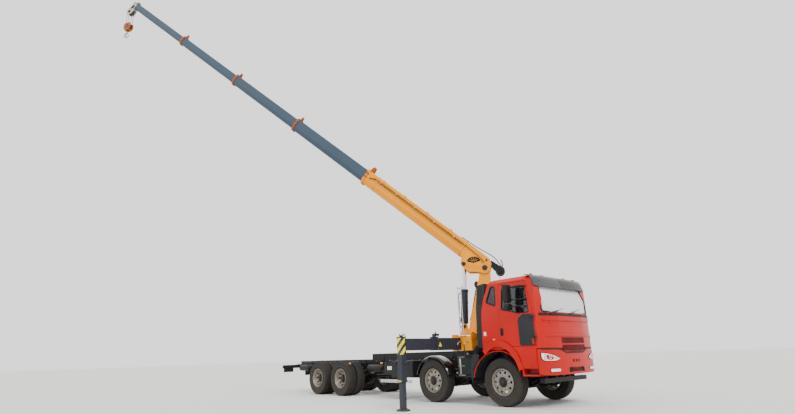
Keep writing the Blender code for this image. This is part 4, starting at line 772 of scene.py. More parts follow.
def in_cabin(at, out):
    """Whether a face of the shell lines the cabin, inside the walls and facing its middle, or is a hinge."""
    inside = -0.44 < at[0] < 1.25 and abs(at[1]) < 1.20 and 1.28 < at[2] < 2.90
    hinge = abs(at[1]) > 1.2315 and at[0] > 0.96 and at[2] < 2.1
    return hinge or inside and float(np.dot(np.array((0.4, 0.0, 2.1)) - at, out)) > 0.12


DOOR_WINDOW = [(0.17, 2.20), (0.64, 2.07), (0.93, 2.07), (0.84, 2.70), (0.20, 2.70)]
QUARTER_WINDOW = [(-0.29, 2.40), (0.0, 2.28), (0.0, 2.76), (-0.13, 2.78)]


def slab_on_side(outline, side, low, high, edge=0.003):
    return on_side(plate(np.asarray(outline, float), low, high, "Y", edge), side)


def cab_sides():
    """What lies on the doors and the side walls: seals, corner panel, handle, labels, mirrors and hinges."""
    for label, side in (("left", 1), ("right", -1)):
        door = f"door_{label}"
        eased(door, CAB_RED, door,
              0.006, TRIM_BLACK, lambda at, out: (abs(at[1]) > 1.25 and at[2] > 2.15 or out[1] * np.sign(
                      at[1]) < -0.5 and abs(at[1]) < 1.2 or abs(at[1]) > 1.2315 and at[0] > 0.96))
        piece(f"door_seal_{label}", [closed_bead(softened(DOOR_WINDOW, 0.05), 0.014, side, -0.002)],
              TRIM_BLACK, door)
        bar_low = [(0.168, 2.215), (0.30, 2.168), (0.30, 2.135), (0.14, 2.19)]
        corner = softened([(0.62, 1.342), (1.024, 1.342), (1.024, 2.035), (0.74, 2.035), (0.62, 1.94)],
                          0.05, 8)
        shapes = [slab_on_side(corner, side, 0.0, 0.008)]
        shapes.append(slab_on_side(rounded(0.085, 0.18, 0.03, (0.145, 1.67)), side, 0.0, 0.006))
        shapes.append(slab_on_side(softened(bar_low, 0.01), side, 0.0, 0.004))
        for z in (1.52, 1.96):
            shapes.append(slab_on_side(rounded(0.10, 0.05, 0.012, (0.985, z)), side, 0.006, 0.016))
        piece(f"door_panel_{label}", shapes, TRIM_GREY, door)
        handle = [(0.145, side * (CAB_HALF + 0.006), 1.605),
                  (0.145, side * (CAB_HALF + 0.030), 1.625), (0.145, side * (CAB_HALF + 0.034), 1.67),
                  (0.145, side * (CAB_HALF + 0.030), 1.715), (0.145, side * (CAB_HALF + 0.006), 1.735)]
        shapes = [pipe(handle, 0.011, 16),
                  round_bar("Y", (0.145, side * (CAB_HALF + 0.008), 1.593), 0.010, -0.006, 0.006)]
        for z in (2.20, 2.66):
            shapes.append(pipe([(0.90, side * 1.20, z + 0.02),
                                (0.75, side * 1.30, z + 0.03), (0.56, side * 1.40, z)], 0.012, 10))
        piece(f"door_fittings_{label}", shapes, TRIM_BLACK, door)
        shapes = []
        for low, high in ((2.31, 2.73), (2.13, 2.28)):
            outline = rounded(0.215, high - low, 0.04, (side * MIRROR_Y, (low + high) / 2), 6)
            shapes.append(plate(outline, MIRROR_X, 0.580, "X", 0.03))
        piece(f"mirror_housing_{label}", shapes, TRIM_BLACK, door)
        shapes = []
        for low, high in ((2.335, 2.705), (2.15, 2.26)):
            outline = rounded(0.165, high - low, 0.025, (side * MIRROR_Y, (low + high) / 2), 6)
            shapes.append(plate(outline, 0.4595, 0.4645, "X", 0.001))
        piece(f"mirror_glass_{label}", shapes, CHROME, door)
        inner_skin = CAB_HALF - 0.047
        shapes = [plate(softened([(0.14, 1.45), (0.98, 1.40), (0.98, 1.98), (0.14, 2.06)], 0.06),
                        *sorted((side * inner_skin, side * (inner_skin - 0.018))), "Y", 0.006),
                  block((0.25, side * (inner_skin - 0.05) - 0.035, 1.74),
                        (0.75, side * (inner_skin - 0.05) + 0.035, 1.79), 0.015)]
        piece(f"door_lining_{label}", shapes, CABIN_GREY, door)

        shapes = [closed_bead(softened(QUARTER_WINDOW, 0.05), 0.016, side, -0.002)]
        piece(f"quarter_seal_{label}", shapes, TRIM_BLACK, "chassis")
        pane = inward(softened(QUARTER_WINDOW, 0.05), 0.001)
        piece(f"quarter_glass_{label}",
              [slab_on_side(pane, side, -0.022, -0.016, 0.001)], GLASS, "chassis")
        shapes = [slab_on_side(rounded(0.07, 0.09, 0.006, (-0.36, 1.65)), side, -0.001, 0.0025, 0.001)]
        piece(f"side_label_{label}", shapes, LABEL, "chassis")


def cab_face():
    """Grille panel, mesh strips, lamps, wipers, screen seal and lower grille on the cab's bowed face."""
    def bowed(half, z0, z1, thick, columns=40):
        y = np.linspace(-half, half, columns)
        z = np.array((z0, z0 + 0.004, z1 - 0.004, z1))
        yy, zz = np.meshgrid(y, z, indexing="ij")
        top = np.where((zz == z0) | (zz == z1), 0.0, thick)
        low = np.full_like(top, -0.003)
        ring = np.concatenate((np.stack((top, yy, zz), -1), np.stack((low, yy, zz), -1)[:, ::-1]), axis=1)
        return on_front(capped(ring))

    def draped(line, width, low, high, columns=60):
        """A strip of a given width that follows a line of (y, z) points over the bowed face."""
        line = np.asarray(line, float)
        y = np.linspace(line[0, 0], line[-1, 0], columns)
        z = np.interp(y, line[:, 0], line[:, 1])
        ring = [(low, -0.5),
                (high - 0.003, -0.5), (high, -0.44), (high, 0.44), (high - 0.003, 0.5), (low, 0.5)]
        return on_front(capped(np.array([[(x, a, b + t * width) for x, t in ring] for a, b in zip(y, z)])))

    shapes = [bowed(1.06, 1.865, 1.905, 0.020), bowed(1.0, 1.515, 1.535, 0.012)]
    piece("face_ribs", shapes, CAB_RED, "chassis")
    chin = softened([(-0.78, 1.285), (-0.38, 1.150), (0.38, 1.150), (0.78, 1.285)], 0.04, 6)
    steps = np.linspace(0, 1, 12)[:, None]
    chin = np.vstack([chin[i] + (np.roll(chin, -1, 0)[i] - chin[i]) * steps[:-1] for i in range(len(chin))])
    piece("chin_panel", [on_front(plate(chin, -0.006, 0.003, "X", 0.001))], CAB_RED, "chassis")
    gap_line = [(-1.17, 1.262), (-0.62, 1.25), (-0.38, 1.165), (0.38, 1.165), (0.62, 1.25), (1.17, 1.262)]
    shapes = [draped(gap_line, 0.040, -0.002, 0.006), bowed(1.12, 1.985, 2.045, 0.014)]
    piece("face_gap_band", shapes, TRIM_BLACK, "chassis")
    dark_red = enamel("grille_enamel_dark_red", "7a140c", "67100a", (0.34, 0.46), 0.2)
    # Painted shadow: a near-black sheet set just behind the mesh stands for the shade inside the grille.
    grille_shade_finish = enamel("grille_mesh_shadow", "2d0d0a", "240a08", (0.5, 0.6), 0.0, None)
    slats, behind = [], []
    for low, high in ((1.372, 1.498), (1.212, 1.335)):
        behind.append(bowed(0.50, low, high, 0.004))
        slats += [bowed(0.505, z, z + 0.006, 0.010) for z in np.linspace(low, high - 0.006, 9)]
        for y in np.linspace(-0.495, 0.495, 46):
            slats.append(
                    on_front(block((0.002, y - 0.003, low + 0.003), (0.009, y + 0.003, high - 0.003), 0.001)))
    piece("grille_painted_shadow", behind, grille_shade_finish, "chassis")
    piece("grille_mesh", slats, dark_red, "chassis")

    def screen_x(z):
        return np.interp(z, (2.02, 2.81), (1.27, 1.04))

    seal = softened([(-1.06, 2.07), (1.06, 2.07), (0.93, 2.76), (-0.93, 2.76)], 0.12, 8)
    a = np.arange(8) / 8 * TAU
    ahead = np.roll(seal, -1, 0) - np.roll(seal, 1, 0)
    ahead /= np.linalg.norm(ahead, axis=1)[:, None]
    out = np.stack((ahead[:, 1], -ahead[:, 0]), -1)
    flat = seal[:, None] + 0.022 * np.cos(a)[None, :, None] * out[:, None]
    x = np.minimum(screen_x(flat[..., 1]),
                   np.interp(np.abs(flat[..., 0]), CAB_NOSE_Y[::-1], CAB_NOSE_X[::-1])) + 0.010 * np.sin(a)
    piece("screen_seal", [sheet_of(np.stack((x, flat[..., 0], flat[..., 1]), -1), True, True)],
          TRIM_BLACK, "chassis")
    shapes = []
    for y0, y1 in ((-0.78, -0.22), (-0.02, 0.56)):
        x0, x1, x2 = (float(cab_front_x(y, z)) + 0.016 for y,
                      z in ((y0, 2.05), ((y0 + y1) / 2, 2.10), (y1, 2.16)))
        shapes.append(pipe([(x0, y0, 2.03), (x0 + 0.012, y0 + 0.1, 2.055), (x1 + 0.004, (y0 + y1) / 2, 2.10)],
                           0.009, 12))
        shapes.append(pipe([(x0 + 0.006, y0 + 0.05, 2.075),
                            (x1 + 0.012, (y0 + y1) / 2, 2.11), (x2 + 0.004, y1, 2.17)], 0.006, 14))
        shapes.append(round_bar("X", (x0 - 0.02, y0, 2.03), 0.020, 0.0, 0.035))
    piece("wipers", shapes, TRIM_BLACK, "chassis")

    shapes, glass, rims = [], [], []
    for side in (-1, 1):
        leaf = softened([(side * 0.64, 1.035),
                         (side * 0.78, 0.985), (side * 1.09, 0.985), (side * 1.18, 1.03),
                         (side * 1.19, 1.185), (side * 1.05, 1.170), (side * 0.80, 1.110)], 0.05, 6)
        if side < 0:
            leaf = leaf[::-1]
        shapes.append(on_front(plate(leaf, -0.004, 0.010, "X", 0.003)))
        glass.append(on_front(plate(inward(leaf, 0.014), 0.008, 0.018, "X", 0.005)))
        for y in (0.86, 0.97, 1.08):
            x = float(cab_front_x(y, 1.06))
            rims.append(lathe([(0.018, 0.0), (0.042, 0.012), (0.045, 0.012), (0.045, 0.0)],
                              "X", (x + 0.004, side * y, 1.068), 24))
        fog = rounded(0.30, 0.062, 0.022, (side * 0.83, 0.795), 6)
        shapes.append(on_front(plate(inward(fog, -0.012), -0.004, 0.008, "X", 0.003)))
        glass.append(on_front(plate(fog, 0.004, 0.014, "X", 0.004)))
    piece("lamp_surrounds", shapes, TRIM_BLACK, "chassis")
    piece("lamp_glass", glass, CLEAR_LENS, "chassis")
    piece("lamp_reflectors", rims, CHROME, "chassis")
    shapes = []
    for y in (-0.12, 0.0, 0.12):
        x = float(cab_front_x(y, 0.98))
        shapes.append(lathe([(1e-4, -0.004), (0.035, -0.004), (0.035, 0.004), (0.031, 0.007), (1e-4, 0.007)],
                            "X", (x, y, 0.985), 28))
    outline = softened([(-0.35, 0.735), (0.35, 0.735), (0.33, 0.845), (-0.33, 0.845)], 0.03, 6)
    shapes.append(on_front(plate(outline, -0.003, 0.007, "X", 0.002)))
    for z in (0.755, 0.777, 0.799, 0.821):
        shapes.append(bowed(0.325, z, z + 0.010, 0.014))
    for y in np.linspace(-0.30, 0.30, 11):
        shapes.append(on_front(block((0.004, y - 0.005, 0.742), (0.011, y + 0.005, 0.838), 0.002)))
    piece("lower_grille", shapes, TRIM_BLACK, "chassis")
    flap = plate(softened([(-0.86, 1.80), (-0.68, 1.80), (-0.68, 1.86), (-0.86, 1.86)], 0.012),
                 0.0, 0.007, "X", 0.002)
    piece("service_flap", [on_front(flap, 0.001)], CAB_RED, "chassis")
    seams = []
    for z in (1.60, 1.74, 1.80):
        seams.append(bowed(1.0, z, z + 0.004, 0.0008))
    piece("panel_joint_lines", seams, GLOSS_BLACK, "chassis")


def cab_top_and_rear():
    def visor_skin(y0, y1):
        """One half of the visor: rows from its lip back over the roof's edge, each a stand-off ahead of the
        cab's face at its height and pulled back at the corners, 8 mm thick."""
        y = np.linspace(y0, y1, 33)
        rows = ((2.655, 0.050),
                (2.665, 0.068), (2.76, 0.062), (2.86, 0.045), (2.925, 0.005), (2.946, -0.05), (2.950, -0.15))
        out = np.array([[(cab_front_x(a, z) + dx - 0.05 * (a / 1.2) ** 4, a, z) for z, dx in rows]
                        for a in y])
        back = out - (0.008, 0, 0.006)
        return capped(np.concatenate((out, back[:, ::-1]), axis=1))

    # Painted light and shade: the visor's right half takes the lighter smoke and its left half the darker
    # tone, though it is one piece.
    piece("visor_right_half_painted_lit",
          [visor_skin(-1.17, -0.004)], VISOR_LIT_HALF, "chassis", None, ("sun_visor",))
    piece("visor_left_half_painted_shade", [visor_skin(0.004, 1.17)], VISOR_SHADED_HALF, "chassis")
    shapes, lenses = [], []
    for y in (-0.98, -0.50, 0.50, 0.98):
        shapes.append(block((0.90, y - 0.045, 2.944), (0.97, y + 0.045, 2.958), 0.006))
        lenses.append(block((0.905, y - 0.030, 2.957), (0.963, y + 0.030, 2.985), 0.012))
    for y in (-0.9, -0.3, 0.3, 0.9):
        x = float(cab_front_x(y, 2.80))
        shapes.append(block((x - 0.002, y - 0.012, 2.79), (x + 0.050, y + 0.012, 2.81), 0.004))
    piece("visor_fittings", shapes, TRIM_BLACK, "chassis")
    piece("roof_marker_lamps", lenses, AMBER, "chassis")
    shapes = [block((0.20, -0.36, 2.928), (0.86, 0.36, 2.960), 0.02),
              block((0.26, -0.30, 2.958), (0.80, 0.30, 2.972), 0.012)]
    for y in (-0.85, -0.62, 0.62, 0.85):
        shapes.append(block((0.0, y - 0.03, 2.922), (0.86, y + 0.03, 2.938), 0.008))
    piece("roof_hatch_and_ribs", shapes, CAB_RED, "chassis")
    shapes = [pipe([(0.05, -0.98, 2.93), (0.04, -0.98, 3.05), (-0.06, -0.98, 3.30)], 0.004, 16),
              round_bar("Z", (0.05, -0.98, 0), 0.018, 2.925, 2.95)]
    for y in (-0.30, 0.30):
        shapes.append(round_bar("X", (0, y, 2.945), 0.014, 0.16, 0.22))
    piece("roof_fittings", shapes, TRIM_BLACK, "chassis")
    ribs = []
    for y in np.linspace(-0.9, 0.9, 7):
        ribs.append(block((-0.468, y - 0.035, 1.42), (-0.446, y + 0.035, 2.10), 0.008))
    piece("rear_wall_ribs", ribs, CAB_RED, "chassis")
    window = softened([(-0.42, 2.24), (0.42, 2.24), (0.40, 2.46), (-0.40, 2.46)], 0.05, 6)
    frame_band = plate(window, 0.0, 0.012, "X", 0.003)
    moved = frame_band[0].copy()
    moved[:, 0] = np.interp(moved[:, 2], (2.2, 2.5), (-0.437, -0.367)) - moved[:, 0]
    piece("rear_window_surround", [(moved, frame_band[1])], TRIM_BLACK, "chassis")
    pane = plate(inward(window, 0.03), 0.010, 0.014, "X", 0.001)
    moved = pane[0].copy()
    moved[:, 0] = np.interp(moved[:, 2], (2.2, 2.5), (-0.437, -0.367)) - moved[:, 0]
    piece("rear_window_glass", [(moved, pane[1])], GLASS, "chassis")


def cushion(low, high, power=0.42, crown=0.12, seams=0):
    """A stuffed pad: signed powers of sines and cosines round a box, its middle crowned, with sewn
    channels that dip as the fourth power of a cosine across it."""
    low, high = np.array(low, float), np.array(high, float)
    u = np.linspace(-math.pi / 2 + 1e-3, math.pi / 2 - 1e-3, 26)[:, None]
    v = np.arange(52)[None] / 52 * TAU

    def soft(value):
        return np.sign(value) * np.abs(value) ** power
    x, y, z = soft(np.cos(u)) * soft(np.cos(v)), soft(np.cos(u)) * soft(np.sin(v)), soft(np.sin(u)) + 0 * v
    z = z * (1 - crown + crown * np.cos(x * 1.5) * np.cos(y * 1.5))
    if seams:
        z = z * (1 - 0.10 * np.abs(np.cos(y * math.pi * seams / 2)) ** 12)
    points = np.stack((x, y, z), -1) / 2 * (high - low) + (high + low) / 2
    return capped(points)


def cab_interior():
    coat_node("dashboard", CABIN_GREY)
    for label, side in (("left", 1), ("right", -1)):
        y = side * 0.62
        seat = cushion((-0.12, y - 0.245, 1.64), (0.38, y + 0.245, 1.79), seams=3)
        back = cushion((-0.255, y - 0.24, 1.74), (-0.11, y + 0.24, 2.40), seams=3)
        lean = (back[0][:, 2] - 1.74) * 0.09
        back[0][:, 0] -= lean - 0.02
        rest = cushion((-0.285, y - 0.13, 2.36), (-0.205, y + 0.13, 2.54))
        base = block((-0.08, y - 0.20, 1.32), (0.26, y + 0.20, 1.66), 0.02)
        for part, shape in (("cushion", seat), ("backrest", back), ("headrest", rest)):
            made = piece(f"seat_{part}_{label}", [shape], CLOTH,
                         "chassis", None, (f"seat_{label}",) if part == "cushion" else ())
        piece(f"seat_base_{label}", [base], TRIM_BLACK, "chassis")
    shapes = []
    for row in range(6):
        shapes.append(block((1.165, 0.25 + row * 0.06, 1.965), (1.185, 0.29 + row * 0.06, 1.975), 0.003))
    shapes.append(block((0.93, 0.34, 1.925), (1.12, 0.90, 1.99), 0.03))
    for y in (-0.75, -0.25, 0.25):
        shapes.append(block((0.795, y - 0.08, 1.80), (0.86, y + 0.08, 1.86), 0.01))
    piece("instrument_binnacle", shapes, TRIM_BLACK, "chassis")


# ---------------------------------------------------------------- crane
def crane_base():
    eased("crane_base", CRANE_YELLOW, "chassis", 0.008)
    low, top = HOUSING_LOW, HOUSING_TOP
    front, rear = HOUSING_FRONT, HOUSING_REAR
    shapes = []
    for z in (low + 0.012, top - 0.012):
        shapes.append(block((front - 0.002, -1.0, z - 0.010), (front + 0.014, 1.0, z + 0.010), 0.004))
        shapes.append(block((rear - 0.014, -1.0, z - 0.010), (rear + 0.002, 1.0, z + 0.010), 0.004))
    for y in (-0.78, -0.46, 0.46, 0.78):
        shapes.append(block((front - 0.002, y - 0.008, low + 0.01),
                            (front + 0.035, y + 0.008, top - 0.01), 0.003))
        shapes.append(block((rear - 0.035, y - 0.008, low + 0.01),
                            (rear + 0.002, y + 0.008, top - 0.01), 0.003))
    shapes.append(block((front, -0.16, low + 0.02), (front + 0.05, 0.16, low + 0.26), 0.01))
    piece("housing_stiffeners", shapes, CRANE_YELLOW, "chassis")
    tab = [(-1.03, top - 0.09),
           (-0.80, top - 0.09), (-0.80, top + 0.06), (-0.95, top + 0.10), (-1.03, top + 0.06)]
    shapes = []
    for side in (-1, 1):
        outline = [(side * y, z) for y, z in tab][::side]
        shapes.append(plate(outline, front - 0.004 if side > 0 else rear - 0.012,
                            front + 0.012 if side > 0 else rear + 0.004, "X", 0.003))
    piece("housing_end_tabs", shapes, CRANE_YELLOW, "chassis")
    places = ring_places((-1.38, 0, top + 0.055), 0.34, 20, "Z")
    shapes = [lathe([(0.296, top + 0.02), (0.375, top + 0.002), (0.375, top + 0.030),
                     (0.360, top + 0.045), (0.302, top + 0.052)], "Z", (-1.38, 0, 0), 60),
              bolts(places - (0, 0, 0.014), "Z", 0.012, 0.014)]
    shapes += [bolts([(front + 0.014, y, z) for y in np.linspace(-0.92, 0.92, 12)], "X", 0.008, 0.008)
               for z in (low + 0.012,)]
    piece("turntable_bolts", shapes, IRON, "chassis")
    valve = [block((-0.96, -0.70, 1.33), (-0.86, -0.50, 1.52), 0.012),
             block((-0.94, -0.69, 1.52), (-0.90, -0.51, 1.56))]
    for y in np.linspace(-0.67, -0.53, 5):
        valve.append(round_bar("Z", (-0.92, y, 0), 0.009, 1.55, 1.60))
        valve.append(pipe([(-0.92, y, 1.59), (-0.90, y, 1.66), (-0.885, y, 1.70)], 0.005, 8))
        valve.append(round_bar("Z", (-0.884, y, 0), 0.012, 1.695, 1.725, 0.008))
    piece("outrigger_valve_bank", valve, IRON, "chassis")
    shapes = []
    for index, y in enumerate(np.linspace(-0.67, -0.53, 5)):
        shapes.append(pipe([(-0.91, y, 1.33), (-0.90, y, 1.24),
                            (-0.95, y * 0.8, 1.20 - 0.01 * index), (-1.25, y * 0.7, 1.22)], 0.009, 22))
    piece("valve_hoses", shapes, HOSE, "chassis")


def outriggers():
    floor = HOUSING_LOW + 0.022
    for label, side in (("left", 1), ("right", -1)):
        x = -1.16 if side > 0 else -1.47
        for node, body in ((f"outrigger_beam_{label}", f"beam_{label}"),
                           (f"outrigger_arm_{label}", f"arm_{label}"),
                           (f"jack_leg_{label}", f"jack_{label}")):
            eased(node, OUTRIGGER_GREY, body, 0.005)

        def across(y0, y1):
            return span(side, y0, y1)

        y0, y1 = across(1.845, 1.902)
        top = floor + 0.30
        shapes = [block((x - 0.140, y0, top + 0.014), (x + 0.140, y1, top + 0.030), 0.004)]
        y0, y1 = across(1.74, 1.895)
        shapes.append(block((x - 0.058, y0, top + 0.052), (x + 0.058, y1, top + 0.104), 0.008))
        shapes.append(round_bar("Z", (x, side * 1.82, 0), 0.020, top + 0.10, top + 0.13))
        shapes.append(pipe([(x - 0.03, side * 1.82, top + 0.125),
                            (x, side * 1.82, top + 0.155), (x + 0.03, side * 1.82, top + 0.125)], 0.006, 14))
        piece(f"beam_lock_{label}", shapes, TRIM_BLACK, f"beam_{label}")
        shapes = []
        for face in (x + 0.1195, x - 0.1210):
            outline = [(side * 1.73, floor + 0.09), (side * 1.85, floor + 0.09), (side * 1.79, floor + 0.20)]
            shapes.append(plate(outline[::side], face, face + 0.0015, "X", 0.0004))
        piece(f"beam_mark_{label}", shapes, hazard_plain(), f"beam_{label}")
        shapes = [bolts([(x + 0.132, side * 1.877, z) for z in np.linspace(floor + 0.05, floor + 0.26, 4)],
                        "X", 0.007, 0.006),
                  bolts([(x - 0.132, side * 1.877, z) for z in np.linspace(floor + 0.05, floor + 0.26, 4)],
                        "X", 0.007, 0.006, -1)]
        piece(f"beam_bolts_{label}", shapes, ZINC, f"beam_{label}")

        tube = tube_y = 0.0775
        tube_top = 1.613
        shapes = []
        for face in (x + tube - 0.0001, x - tube - 0.0014):
            shapes.append(plate(
                    [(side * JACK_Y - tube_y + 0.006, 1.225), (side * JACK_Y + tube_y - 0.006, 1.225),
                     (side * JACK_Y + tube_y - 0.006, tube_top - 0.012),
                     (side * JACK_Y - tube_y + 0.006, tube_top - 0.012)], face, face + 0.0015, "X", 0.0004))
        out = across(JACK_Y + tube_y - 0.0001, 3.0 + tube_y + 0.0014)
        shapes.append(plate([(x - tube + 0.006, 1.225), (x + tube - 0.006, 1.225),
                             (x + tube - 0.006, tube_top - 0.012), (x - tube + 0.006, tube_top - 0.012)],
                            *out, "Y", 0.0004))
        piece(f"jack_hazard_film_{label}", shapes, HAZARD, f"arm_{label}")
        rim = tube + 0.008
        shapes = [block((x - rim, side * JACK_Y - rim, 0.62), (x + rim, side * JACK_Y + rim, 0.655), 0.004),
                  block((x - rim, side * JACK_Y - rim, tube_top - 0.002),
                        (x + rim, side * JACK_Y + rim, tube_top + 0.014), 0.004),
                  round_bar("Z", (x, side * JACK_Y, 0), 0.045, tube_top + 0.012, tube_top + 0.055, 0.01)]
        lift_y = across(2.87, 2.925)
        shapes.append(block((x - 0.09, lift_y[0], 1.33), (x + 0.09, lift_y[1], 1.56), 0.008))
        shapes.append(pipe([(x + tube, side * 2.96, 1.03), (x + tube + 0.04, side * 2.96, 1.05),
                            (x + tube + 0.04, side * 3.04, 1.05), (x + tube, side * 3.04, 1.03)], 0.008, 20))
        piece(f"jack_tube_caps_{label}", shapes, OUTRIGGER_GREY, f"arm_{label}")
        shapes = [pipe([(x + dx, side * 2.99, tube_top + 0.04), (x + 1.7 * dx, side * 2.985, tube_top + 0.08),
                        (x + 2.1 * dx, side * 2.96, tube_top + 0.02),
                        (x + 2.0 * dx, side * 2.955, tube_top - 0.12)], 0.009, 22) for dx in (-0.046, 0.046)]
        piece(f"jack_hoses_{label}", shapes, HOSE, f"arm_{label}")
        mark = [plate(rounded(0.10, 0.03, 0.004, (x, 0.64), 3),
                      *across(JACK_Y + tube_y + 0.008, 3.0 + tube_y + 0.0095), "Y", 0.0004)]
        piece(f"jack_mark_{label}", mark, hazard_plain(), f"arm_{label}")
        foot = [(1e-4, 0.0), (0.156, 0.0), (0.160, 0.004), (0.160, 0.024),
                (0.152, 0.032), (0.135, 0.034), (0.120, 0.040), (0.078, 0.048), (0.070, 0.060), (1e-4, 0.060)]
        shapes = [lathe(foot, "Z", (x, side * JACK_Y, 0), 48)]
        for a in np.arange(6) * TAU / 6:
            fin = np.array([(0.05, 0.03), (0.145, 0.03), (0.085, 0.059), (0.05, 0.059)])
            verts, faces = plate(fin, -0.005, 0.005, "Y", 0.002)
            spun = verts @ turn("Z", math.degrees(a))[:3, :3].T + (x, side * JACK_Y, 0)
            shapes.append((spun, faces))
        piece(f"jack_foot_{label}", shapes, OUTRIGGER_GREY, f"jack_{label}")


def hazard_plain():
    found = bpy.data.materials.get("marker_film_yellow")
    return found or enamel("marker_film_yellow", "f2d61a", "e6c912", (0.25, 0.35), 0.3, None)


def column():
    eased("column", CRANE_YELLOW, "crane_column", 0.010)
    rib = [(-0.22, 1.75),
           (0.24, 1.75), (0.20, 1.98), (0.06, 2.60), (-0.07, 3.16), (-0.28, 3.10), (-0.22, 2.60)]
    shapes, caps, fittings = [], [], []
    for side in (-1, 1):
        y = span(side, 0.149, 0.158)
        shapes.append(plate(softened(rib, 0.05), *y, "Y", 0.003))
        gusset = [(0.16, 1.722), (0.36, 1.722), (0.30, 1.86), (0.20, 1.92)]
        y = span(side, 0.158, 0.172)
        shapes.append(plate(softened(gusset, 0.02), *y, "Y", 0.003))
    shapes.append(lathe([(0.18, 1.722), (0.335, 1.722), (0.335, 1.738), (0.315, 1.746), (0.18, 1.750)],
                        "Z", (0, 0, 0), 60))
    for z in (2.05, 2.45, 2.85):
        x = float(np.interp(z, (1.97, 2.65, 3.27), (0.34, 0.15, -0.01)))
        shapes.append(block((x - 0.01, -0.13, z - 0.006), (x + 0.010, 0.13, z + 0.006), 0.002))
    piece("column_plates", shapes, CRANE_YELLOW, "crane_column", SLEW)
    for side in (-1, 1):
        span_y = (0.090, 0.128) if side > 0 else (-0.128, -0.090)
        caps.append(round_bar("Y", (0.496, 0, 1.93), 0.052, *span_y, 0.004, 28))
        caps.append(bolts([(0.496, side * 0.128, 1.93)], "Y", 0.014, 0.012, side))
    caps.append(bolts(ring_places((0, 0, 1.742), 0.29, 16, "Z"), "Z", 0.012, 0.012))
    piece("column_pin_caps", caps, IRON, "crane_column", SLEW)
    cover = [(0.01, 3.00), (0.13, 3.00), (0.15, 3.10), (0.09, 3.18), (0.0, 3.14)]
    fittings.append(plate(softened(cover, 0.03), -0.07, 0.07, "Y", 0.012))
    for y in (-0.05, -0.017, 0.017, 0.05):
        fittings.append(pipe([(0.30, y, 1.78), (0.33, y, 2.02), (0.235, y, 2.40),
                              (0.155, y, 2.75), (0.095, y, 2.98), (0.085, y, 3.04)], 0.010, 44))
    piece("column_hoses", fittings, HOSE, "crane_column", SLEW)
    clamps = []
    for z in (2.12, 2.46, 2.80):
        x = float(np.interp(z, (1.97, 2.65, 3.27), (0.34, 0.15, -0.01)))
        clamps.append(block((x, -0.075, z - 0.014), (x + 0.034, 0.075, z + 0.014), 0.006))
    clamps.append(block((-0.34, -0.075, 1.80), (-0.255, 0.075, 2.14), 0.012))
    clamps.append(lathe([(1e-4, 2.14), (0.045, 2.14), (0.045, 2.17), (0.035, 2.178), (1e-4, 2.178)],
                        "Z", (-0.297, 0, 0), 24))
    piece("column_clamps", clamps, TRIM_BLACK, "crane_column", SLEW)
    box_shapes = [block((-0.16, -0.26, 1.86), (0.06, -0.158, 2.10), 0.02),
                  block((-0.15, 0.158, 1.88), (0.02, 0.24, 2.04), 0.02)]
    for x in (-0.12, -0.05, 0.02):
        box_shapes.append(round_bar("Y", (x, 0, 2.05), 0.010, -0.272, -0.258))
    piece("control_box", box_shapes, TRIM_GREY, "crane_column", SLEW)


def lift_cylinder():
    coat_node("lift_cylinder_rod", CHROME)
    barrel_at = SLEW @ shift(0.496, 0, 1.93)
    pin = (BOOM @ np.array((0.541, 0, -0.28, 1.0)))[:3]
    eye = barrel_at[:3, 3]
    reach = np.linalg.norm(pin - eye)
    local = np.linalg.inv(barrel_at[:3, :3]) @ (pin - eye) / reach
    place = barrel_at @ turn("Y", math.degrees(math.atan2(local[0], local[2])))
    body = [(0.074, 0.07),
            (0.100, 0.088), (0.103, 0.10), (0.103, 0.94), (0.108, 0.945), (0.114, 0.955), (0.114, 1.020),
            (0.106, 1.030), (0.0635, 1.032), (0.0635, 0.975), (0.087, 0.970), (0.087, 0.135), (0.074, 0.12)]
    eye_ring = [(0.039, -0.058),
                (0.082, -0.058), (0.086, -0.054), (0.086, 0.054), (0.082, 0.058), (0.039, 0.058)]
    shapes = [lathe(body, "Z", (0, 0, 0), 48),
              lathe(eye_ring, "Y", (0, 0, 0), 40), block((-0.055, -0.05, 0.05), (0.055, 0.05, 0.11), 0.01)]
    piece("lift_barrel_tube",
          shapes, CYLINDER_GREY, "lift_barrel", place, ("lift_cylinder_barrel",))
    shapes = [bolts(ring_places((0, 0, 1.030), 0.088, 12, "Z"), "Z", 0.008, 0.010),
              round_bar("X", (0, 0, 0.16), 0.022, 0.09, 0.145),
              round_bar("X", (0, 0, 0.90), 0.022, 0.09, 0.145),
              block((0.09, -0.04, 0.12), (0.16, 0.04, 0.24), 0.01)]
    piece("lift_barrel_ports", shapes, ZINC, "lift_barrel", place)
    shapes = [pipe([(0.14, 0.0, 0.90),
                    (0.165, 0.0, 0.86), (0.150, 0.0, 0.55), (0.150, 0.0, 0.28), (0.14, 0, 0.22)], 0.010, 36),
              pipe([(0.14, 0.025, 0.14), (0.15, 0.03, 0.06), (0.08, 0.075, -0.03)], 0.010, 16)]
    for z in (0.40, 0.65):
        shapes.append(lathe([(0.1035, z - 0.012), (0.109, z - 0.012),
                             (0.109, z + 0.012), (0.1035, z + 0.012)], "Z", (0, 0, 0), 36))
    piece("lift_barrel_hoses", shapes, HOSE, "lift_barrel", place)


def tube_section(width, height, radius=0.022):
    """Boom section outline with rounded shoulders and bends."""
    w, h = width / 2, height / 2
    corners = [(-w, BOOM_AXIS + h), (-w, BOOM_AXIS - 0.4 * h), (-0.58 * w, BOOM_AXIS - h),
               (0.58 * w, BOOM_AXIS - h), (w, BOOM_AXIS - 0.4 * h), (w, BOOM_AXIS + h)]
    return softened(corners, radius, 5)


